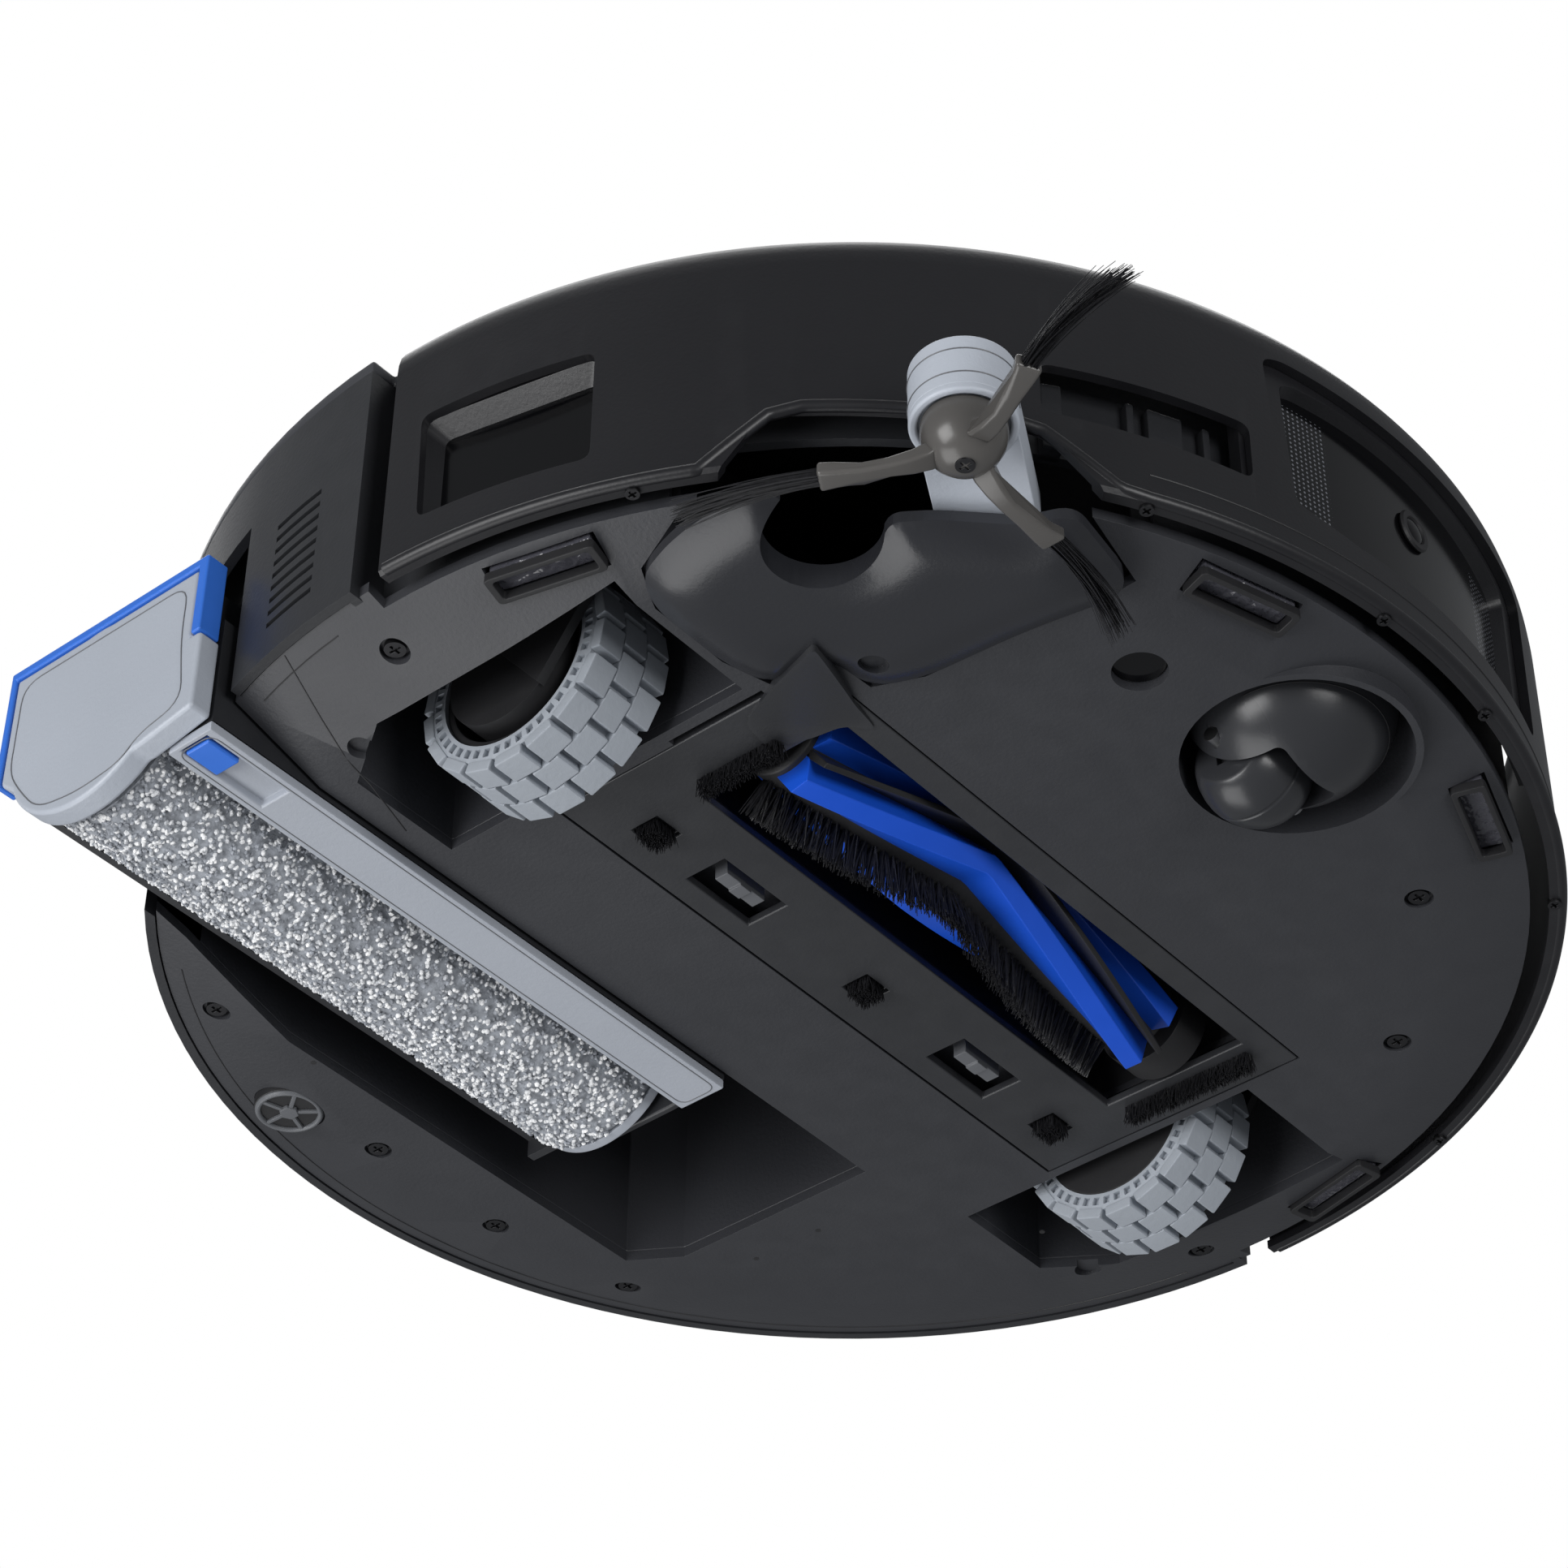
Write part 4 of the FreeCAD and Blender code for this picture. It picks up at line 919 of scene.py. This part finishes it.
seam_points = [(*around(seam_radius, a, CASTER_AT), SEAM_LEVEL) for a in range(0, 360, 6)]
seam = rope("caster_seam", [point for point in seam_points if point[1] < -131], 0.16, 1)
dress(seam, DARK, "caster_fork")
BARREL_HALF = [(13.1, 0.3), (13.35, 0.6), (13, 3.2), (12.2, 6), (11, 8.4), (9.6, 10.1), (8.6, 10.5),
               (2.05, 10.5)]
barrel_profile = [(radius, -x) for radius, x in reversed(BARREL_HALF)] + BARREL_HALF
barrel = turned("caster_barrel", barrel_profile, ROLL, "x", steps=72)
sockets = [block(f"socket_{i}", x, about(ROLL[1], 3.4), about(ROLL[2], 3.4))
           for i, x in enumerate(((-11, -8.6), (8.6, 11)))]
hollow(barrel, *sockets)
ease(barrel, 0.25, 2, 38)
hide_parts("caster_wheel")
dress(barrel, CASTER, "caster_roller")

# %% [markdown]
# ## Side brush
# The pale arm carries a hub with three curved, drooping arms, and each of those ends in a bundle of long
# strands. A strand is a thin bar cut into short lengths and then bent.

# %% Pale arm, its collar and screw
HUB_AT, PIVOT = (-132, -138), (-98.4, -119.7)
SPREAD = (0, 120, 243)


def cross_screw(name, x, y, low, radius, body):
    """A pan-head screw that looks down, with a cross in it."""
    head = bar(name, (x, y, low), (x, y, low + 1.5), radius, 40)
    arm = radius * 0.66
    deep = (low - 1, low + 0.9)
    hollow(head, block("cross_a", about(x, arm), about(y, 0.3), deep),
           block("cross_b", about(x, 0.3), about(y, arm), deep))
    ease(head, 0.2, 2)
    return dress(head, BLACK_STEEL, body)


dress(soften("side_arm", 1.3, 4), ARM, "swing_arm")
collar = turned("arm_collar", [(10.0, 4.4), (10.0, 2.9), (10.5, 2.4), (11.6, 2.4), (12.0, 2.9),
                               (12.0, 4.4)], (*HUB_AT, 0))
dress(ease(collar, 0.25), ARM, "swing_arm")
line = math.degrees(math.atan2(HUB_AT[1] - PIVOT[1], HUB_AT[0] - PIVOT[0]))
for i, height in enumerate((7.6, 14.6)):
    band_points = [(*around(12.02, line + a, HUB_AT), height) for a in range(-96, 97, 6)]
    band = rope(f"arm_band_{i}", band_points, 0.2, 1)
    dress(band, INNER, "swing_arm")
cross_screw("arm_screw", -119.5, -131, 3.9, 2.0, "swing_arm")

# %% Hub with its three arms
hub = turned("side_dome", [(0, -8.6), (2, -8.5), (4, -8.0), (6, -6.9), (7.8, -5), (9, -2.6), (9.6, 0.4),
                           (9.5, 3.2), (8.8, 3.7), (3, 3.7), (3, 11.5), (0, 11.5)], (*HUB_AT, 0))
LOWER = [(4, -4.5), (7, -6.9), (11, -8.2), (16, -8.9), (22, -9.2), (28, -9.2), (31.5, -9.0)]
UPPER = [(31.5, -5.2), (28, -5.5), (22, -6.2), (16, -5.8), (11, -4.6), (7, -2.4), (4, 0)]


def rib_side(reach, half):
    """The side of an arm: half its width, moved over by a slow bend."""
    return half + 0.9 * math.sin(math.pi * (reach - 4) / 27.5)


arms = []
for angle in SPREAD:
    rib = plate(f"side_rib_{angle}", LOWER + UPPER, -1, 1, "y")
    for vertex in rib.data.vertices:
        reach = vertex.co.x / MM
        half = 3.4 - 0.09 * reach if reach < 20 else 1.6 + 0.13 * (reach - 20)
        vertex.co.y = rib_side(reach, math.copysign(half, vertex.co.y)) * MM
    rib.data.transform(moved((*HUB_AT, 0)) @ spun(angle, "Z"))
    arms.append(ease(rib, 0.9, 3, 30))
hub = joined("side_hub_with_arms", ease(hub, 0.4), *arms)
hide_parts("side_hub")
dress(smooth(hub, 50), HUB, "side_spinner")
cross_screw("side_hub_screw", *HUB_AT, -8.9, 2.2, "side_spinner")


# %% Bundles of strands
def strand(length, bend, droop, radius, parts=9):
    """A long bristle cut into short parts and bent more and more towards its end."""
    piece = needle("strand", length, radius, 0.4)
    open_all(piece)
    for k in range(1, parts):
        bpy.ops.mesh.select_all(action="SELECT")
        bpy.ops.mesh.bisect(plane_co=(0, 0, length * k / parts * MM), plane_no=(0, 0, 1))
    done()
    for vertex in piece.data.vertices:
        along = (vertex.co.z / MM / length) ** 2
        vertex.co.y += bend * along * MM
        vertex.co.x += droop * along * MM
    return piece


bundles = []
for angle, bend in zip(SPREAD, (5.5, -5.5, 6.0)):
    foot = moved((*around(30, angle, HUB_AT), -7.3)) @ spun(angle, "Z") @ spun(90, "Y")
    for k in range(5):
        places = []
        for _ in range(16):
            fan = spun(chance.gauss(0, 2.6), "X") @ spun(abs(chance.gauss(0, 1.6)), "Y")
            start = moved((chance.uniform(-1.3, 1.3), chance.uniform(-1.9, 1.9), 0))
            places.append(foot @ start @ fan)
        hair = strand(31 + 0.8 * k, bend + 0.7 * (k - 2), 0.2 * k, 0.2)
        bundles.append(scattered(f"bundle_{angle}_{k}", hair, places))
strands = joined("side_brush_strands", *bundles)
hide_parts("side_bristles")
dress(strands, NYLON, "side_spinner")

# %% [markdown]
# ## The roller mop
# The mop is a sleeve of thousands of small fibre knots, some white and some grey. Each half of them is
# one mesh. Around it sit the pale bracket with its blue tab, the end cap and its blue trim.

# %% Knots of the pile
ROLLER = (0, 88, 16.5)
PILE_FROM, PILE_TO, PILE_RADIUS = -168, 2.6, 24.5


def fleece(name, colour):
    """Matt fibre whose brightness changes from knot to knot."""
    material = plastic(name, colour, 0.9, grain=0.6, size=1600.0, wear=0, spec=0.15)
    tree = material.node_tree
    spots = mapped(tree, noise(tree, 420.0, Detail=3.0), 0.35, 0.65)
    paint(tree, blend(tree, spots, scaled(colour, 0.62), scaled(colour, 1.15)))
    return material


def knots(name, count, size, radius, seed):
    """Small squashed balls, each turned and stretched its own way, all over the roller."""
    chance = random.Random(seed)
    places = []
    for _ in range(count):
        x, angle = chance.uniform(PILE_FROM, PILE_TO), chance.uniform(0, 360)
        out = around(radius + chance.uniform(-0.5, 0.25), angle, ROLLER[1:])
        turn = Matrix.Rotation(chance.uniform(0, 6.28), 4, "X")
        turn = turn @ Matrix.Rotation(chance.uniform(0, 6.28), 4, "Z")
        grow = Matrix.Diagonal((chance.uniform(0.7, 1.25), chance.uniform(0.6, 1.0),
                                chance.uniform(0.8, 1.3), 1))
        places.append(moved((x, *out)) @ turn @ grow)
    clear()
    bpy.ops.mesh.primitive_ico_sphere_add(subdivisions=1, radius=size / 2 * MM)
    return scattered(name, named("knot"), places)


WHITE_FLEECE = fleece("white_fleece", tone(240, 243, 248))
GREY_FLEECE = fleece("grey_fleece", tone(160, 164, 171))
KNOTS = 9900
sleeve = turned("mop_sleeve", [(22.5, -168.5), (23.8, -168.3), (24.3, -167), (24.3, 1.6), (23.8, 2.8),
                               (22.5, 3)], ROLLER, "x", steps=96)
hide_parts("mop_pile")
dress(smooth(sleeve, 60), GREY_FLEECE, "mop_roller")
white_knots = knots("mop_white_knots", KNOTS, 1.4, PILE_RADIUS, 21)
dress(white_knots, WHITE_FLEECE, "mop_roller")
grey_knots = knots("mop_grey_knots", KNOTS, 1.35, PILE_RADIUS - 0.1, 22)
dress(grey_knots, GREY_FLEECE, "mop_roller")
dress(soften("mop_end_disc", 0.5), BRACKET, "mop_roller")

# %% Bracket, tab, cap and trim
dress(soften("mop_cover", 0.5), BRACKET, "mop_module")
dress(soften("mop_frame", 0.5), REAR, "mop_module")
dress(soften("mop_tab", 0.5, 3), BLUE, "release_tab")
dress(soften("mop_end_cap", 1.4, 4), CAP, "mop_cap")
dress(soften("mop_trim", 0.6, 3), BLUE, "mop_cap")
COVER_SEAM = [(-168.6, 52.4), (9, 52.4), (9, 63.6), (-168.6, 63.6)]
cover_points = [(*point, -4.0) for point in rounded(COVER_SEAM, 3)]
cover_seam = rope("mop_cover_seam", cover_points, 0.16, 1, True)
dress(cover_seam, INNER, "mop_module")
CAP_SEAM = [(54.5, 2), (68, -0.8), (74, -6.0), (88, -7.6), (102, -5.0), (109, 3.5), (114.5, 12),
            (114.5, 40), (57.5, 40), (57.5, 23)]
cap_points = [(-177, *point) for point in rounded(CAP_SEAM, 6)]
cap_seam = rope("mop_cap_seam", cap_points, 0.2, 1, True)
dress(cap_seam, INNER, "mop_cap")
FAIRING = [(51.3, 2), (51.3, -0.8), (66, -3.4), (90, -3.6), (106, 2), (116.5, 9), (116.5, 30), (56, 30)]
fairing = plate("mop_side_fairing", rounded(FAIRING, 3), 8.1, 10.4, "x")
dress(ease(fairing, 0.7, 3), REAR, "mop_module")

# %% [markdown]
# ## Small things on the underside
# A spoked vent, dark frames around the floor sensors, the screws of the bumper's lip and a few seams.

# %% Vent, sensor frames and lip screws
VENT_AT = (-47, 150)
dress(soften("drain_vent", 0.35), DARK, "casing")
SPOKES = 5
rim_profile = [(7.4, 1.6), (7.4, 2.6), (8.9, 2.6), (8.9, 1.9), (8.4, 1.3), (7.8, 1.3)]
wheel = [turned("vent_rim", rim_profile, (*VENT_AT, 0)),
         bar("vent_hexagon", (*VENT_AT, 1.2), (*VENT_AT, 2.6), 2.6, 6)]
spoke = block("vent_spoke", (VENT_AT[0] + 2, VENT_AT[0] + 7.8), about(VENT_AT[1], 0.55), (1.5, 2.6))
wheel += [copied(spoke, f"vent_spoke_{k}", turn=(360 / SPOKES * k + 20, "Z", (*VENT_AT, 0)))
          for k in range(SPOKES)]
bpy.data.objects.remove(spoke)
dress(ease(joined("vent_wheel", *wheel), 0.2), INNER, "casing")
FRAME_OUT = [(-13.8, -4.3), (13.8, -4.3), (13.8, 4.3), (-13.8, 4.3)]
FRAME_IN = [(-12, -2.9), (12, -2.9), (12, 2.9), (-12, 2.9)]
for angle in (-166, -108, -72, -14):
    ring = plate("sensor_frame", rounded(FRAME_OUT, 1.5), 1.4, 4)
    hollow(ring, plate("frame_tool", rounded(FRAME_IN, 1.0), 0, 6))
    ease(ring, 0.3)
    ring.data.transform(moved((*around(160, angle), 0)) @ spun(angle + 90, "Z"))
    ring.name = f"sensor_frame_{-angle}"
    dress(ring, DARK, "casing")
for angle in (-157, -119, -97, -83, -58, -24):
    cross_screw(f"lip_screw_{-angle}", *around(172.9, angle), 5.7, 1.7, "bumper_body")


# %% Seams
FLAT_RADIUS, RIM_RADIUS, RIM_RISE = 145, 172.2, 7.4


def underside(x, y):
    """The plate is flat in the middle and rises towards its rim."""
    slope = RIM_RISE / (RIM_RADIUS - FLAT_RADIUS)
    return max(0.0, (math.hypot(x, y) - FLAT_RADIUS) * slope) - 0.03


def drawn(name, corners):
    """A fine dark line along corners in the plan, on the underside of the casing."""
    points = []
    for a, b in zip(corners, corners[1:]):
        a, b = Vector(a), Vector(b)
        steps = max(1, int((b - a).length / 3))
        points += [tuple(a.lerp(b, k / steps)) for k in range(steps)]
    points.append(tuple(corners[-1]))
    line = rope(name, [(x, y, underside(x, y)) for x, y in points], 0.17, 1)
    return dress(line, DARK, "casing")


drawn("seam_beside_wheel", [(-169, 29.7), (-151, 35), (-137.6, 38.5), (-130, 40), (-112, 45.5)])
drawn("rear_rim_seam", [around(167.5, a) for a in range(6, 129, 2)])
drawn("rear_rim_seam_short", [around(167.5, a) for a in range(165, 176, 2)])
for i, (x, y) in enumerate(((79.7, 77), (79.6, 98.6), (118.4, 31), (-60, 128))):
    dress(bar(f"gate_mark_{i}", (x, y, -0.05), (x, y, 0.3), 0.75, 20), DARK, "casing")

# %% [markdown]
# ## What stays as CAD
# Hidden and small CAD nodes keep their exact shape and only get a finish. Where the list below says
# nothing, the finish is the dark plastic.

# %% Finishes for the remaining CAD nodes
PLAIN = {
    "suction_duct": INNER, "fan_motor": INNER, "dustbin": INNER, "dustbin_filter": ARM,
    "water_tank": TANK, "suspension_pins": STEEL, "caster_axle": STEEL,
    "brush_motor": STEEL, "mop_motor": STEEL, "drive_belt": RUBBER, "charging_contacts": BRASS,
    "start_button": SILVER,
}
for name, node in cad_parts.items():
    node.data.materials.clear()
    node.data.materials.append(PLAIN.get(name, DARK))
print(len(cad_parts), "nodes dressed")

# %% [markdown]
# ## Stage, light and camera
# The machine is held up and seen from below, so the camera stands under the floor's level. The floor's
# underside is see-through. The light is broad and soft, as in a white tent.


# %% Stage, lights and camera
def make_floor():
    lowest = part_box("right_tyre")[0].z - 0.0002
    clear()
    bpy.ops.mesh.primitive_plane_add(size=4, location=(0, 0, lowest))
    floor = named("floor")
    material, tree, shader = blank("pale_floor")
    shader.inputs["Roughness"].default_value = 0.7
    paint(tree, blend(tree, noise(tree, 3.0), (0.80, 0.80, 0.80, 1), (0.86, 0.86, 0.86, 1)))
    see_through = add(tree, "BsdfTransparent")
    side = add(tree, "NewGeometry").outputs["Backfacing"]
    mix = add(tree, "MixShader", {0: side, 1: shader.outputs[0], 2: see_through.outputs[0]})
    tree.links.new(mix.outputs[0], tree.nodes["Material Output"].inputs["Surface"])
    floor.data.materials.append(material)
    floor.visible_diffuse = False
    floor.visible_glossy = False
    floor.visible_transmission = False
    floor.visible_shadow = False


def make_world():
    world = bpy.data.worlds.new("white_tent")
    world.use_nodes = True
    tree = world.node_tree
    tree.nodes.clear()
    seen = add(tree, "Background", {"Color": (1, 1, 1, 1), "Strength": 1.0})
    light = add(tree, "Background", {"Color": (0.93, 0.96, 1, 1), "Strength": WORLD_LIGHT})
    camera_ray = add(tree, "LightPath").outputs["Is Camera Ray"]
    mix = add(tree, "MixShader", {0: camera_ray, 1: light.outputs[0], 2: seen.outputs[0]})
    out = add(tree, "OutputWorld")
    tree.links.new(mix.outputs[0], out.inputs[0])
    bpy.context.scene.world = world


def make_light(name, place, size, power, aim=(0, 0, 0.03)):
    lamp = bpy.data.lights.new(name, "AREA")
    lamp.size, lamp.energy = size, power
    holder = linked(name, lamp)
    holder.location = place
    holder.rotation_euler = (Vector(aim) - Vector(place)).to_track_quat("-Z", "Y").to_euler()


WORLD_LIGHT = 0.20
make_floor()
make_world()
for light in (
    ("left_softbox", (-1.5, 0.35, -0.55), 1.0, 19),
    ("low_softbox", (-0.2, 0.9, -1.3), 1.2, 12),
    ("front_strip", (-0.5, -1.5, -0.35), 0.7, 11),
    ("top_softbox", (0.3, 0.4, 1.6), 1.6, 18),
):
    make_light(*light)

lens_data = bpy.data.cameras.new("view")
lens_data.sensor_width = 36
lens_data.lens = 94.58
lens_data.shift_x = -0.0319
lens_data.shift_y = -0.0121
lens_data.clip_start, lens_data.clip_end = 0.05, 20
camera = linked("view", lens_data)
RIGHT_WAY = (0.63415, -0.77321, 0.00016)
UP_WAY = (-0.50182, -0.41142, 0.76086)
BACK_WAY = (-0.58824, -0.48258, -0.64891)
STAND_AT = (-0.630, -0.5107, -0.62186)
camera.matrix_world = Matrix([*zip(RIGHT_WAY, UP_WAY, BACK_WAY, STAND_AT), (0, 0, 0, 1)])
bpy.context.scene.camera = camera
bpy.context.scene.view_settings.view_transform = "Standard"
bpy.context.scene.view_settings.look = "None"
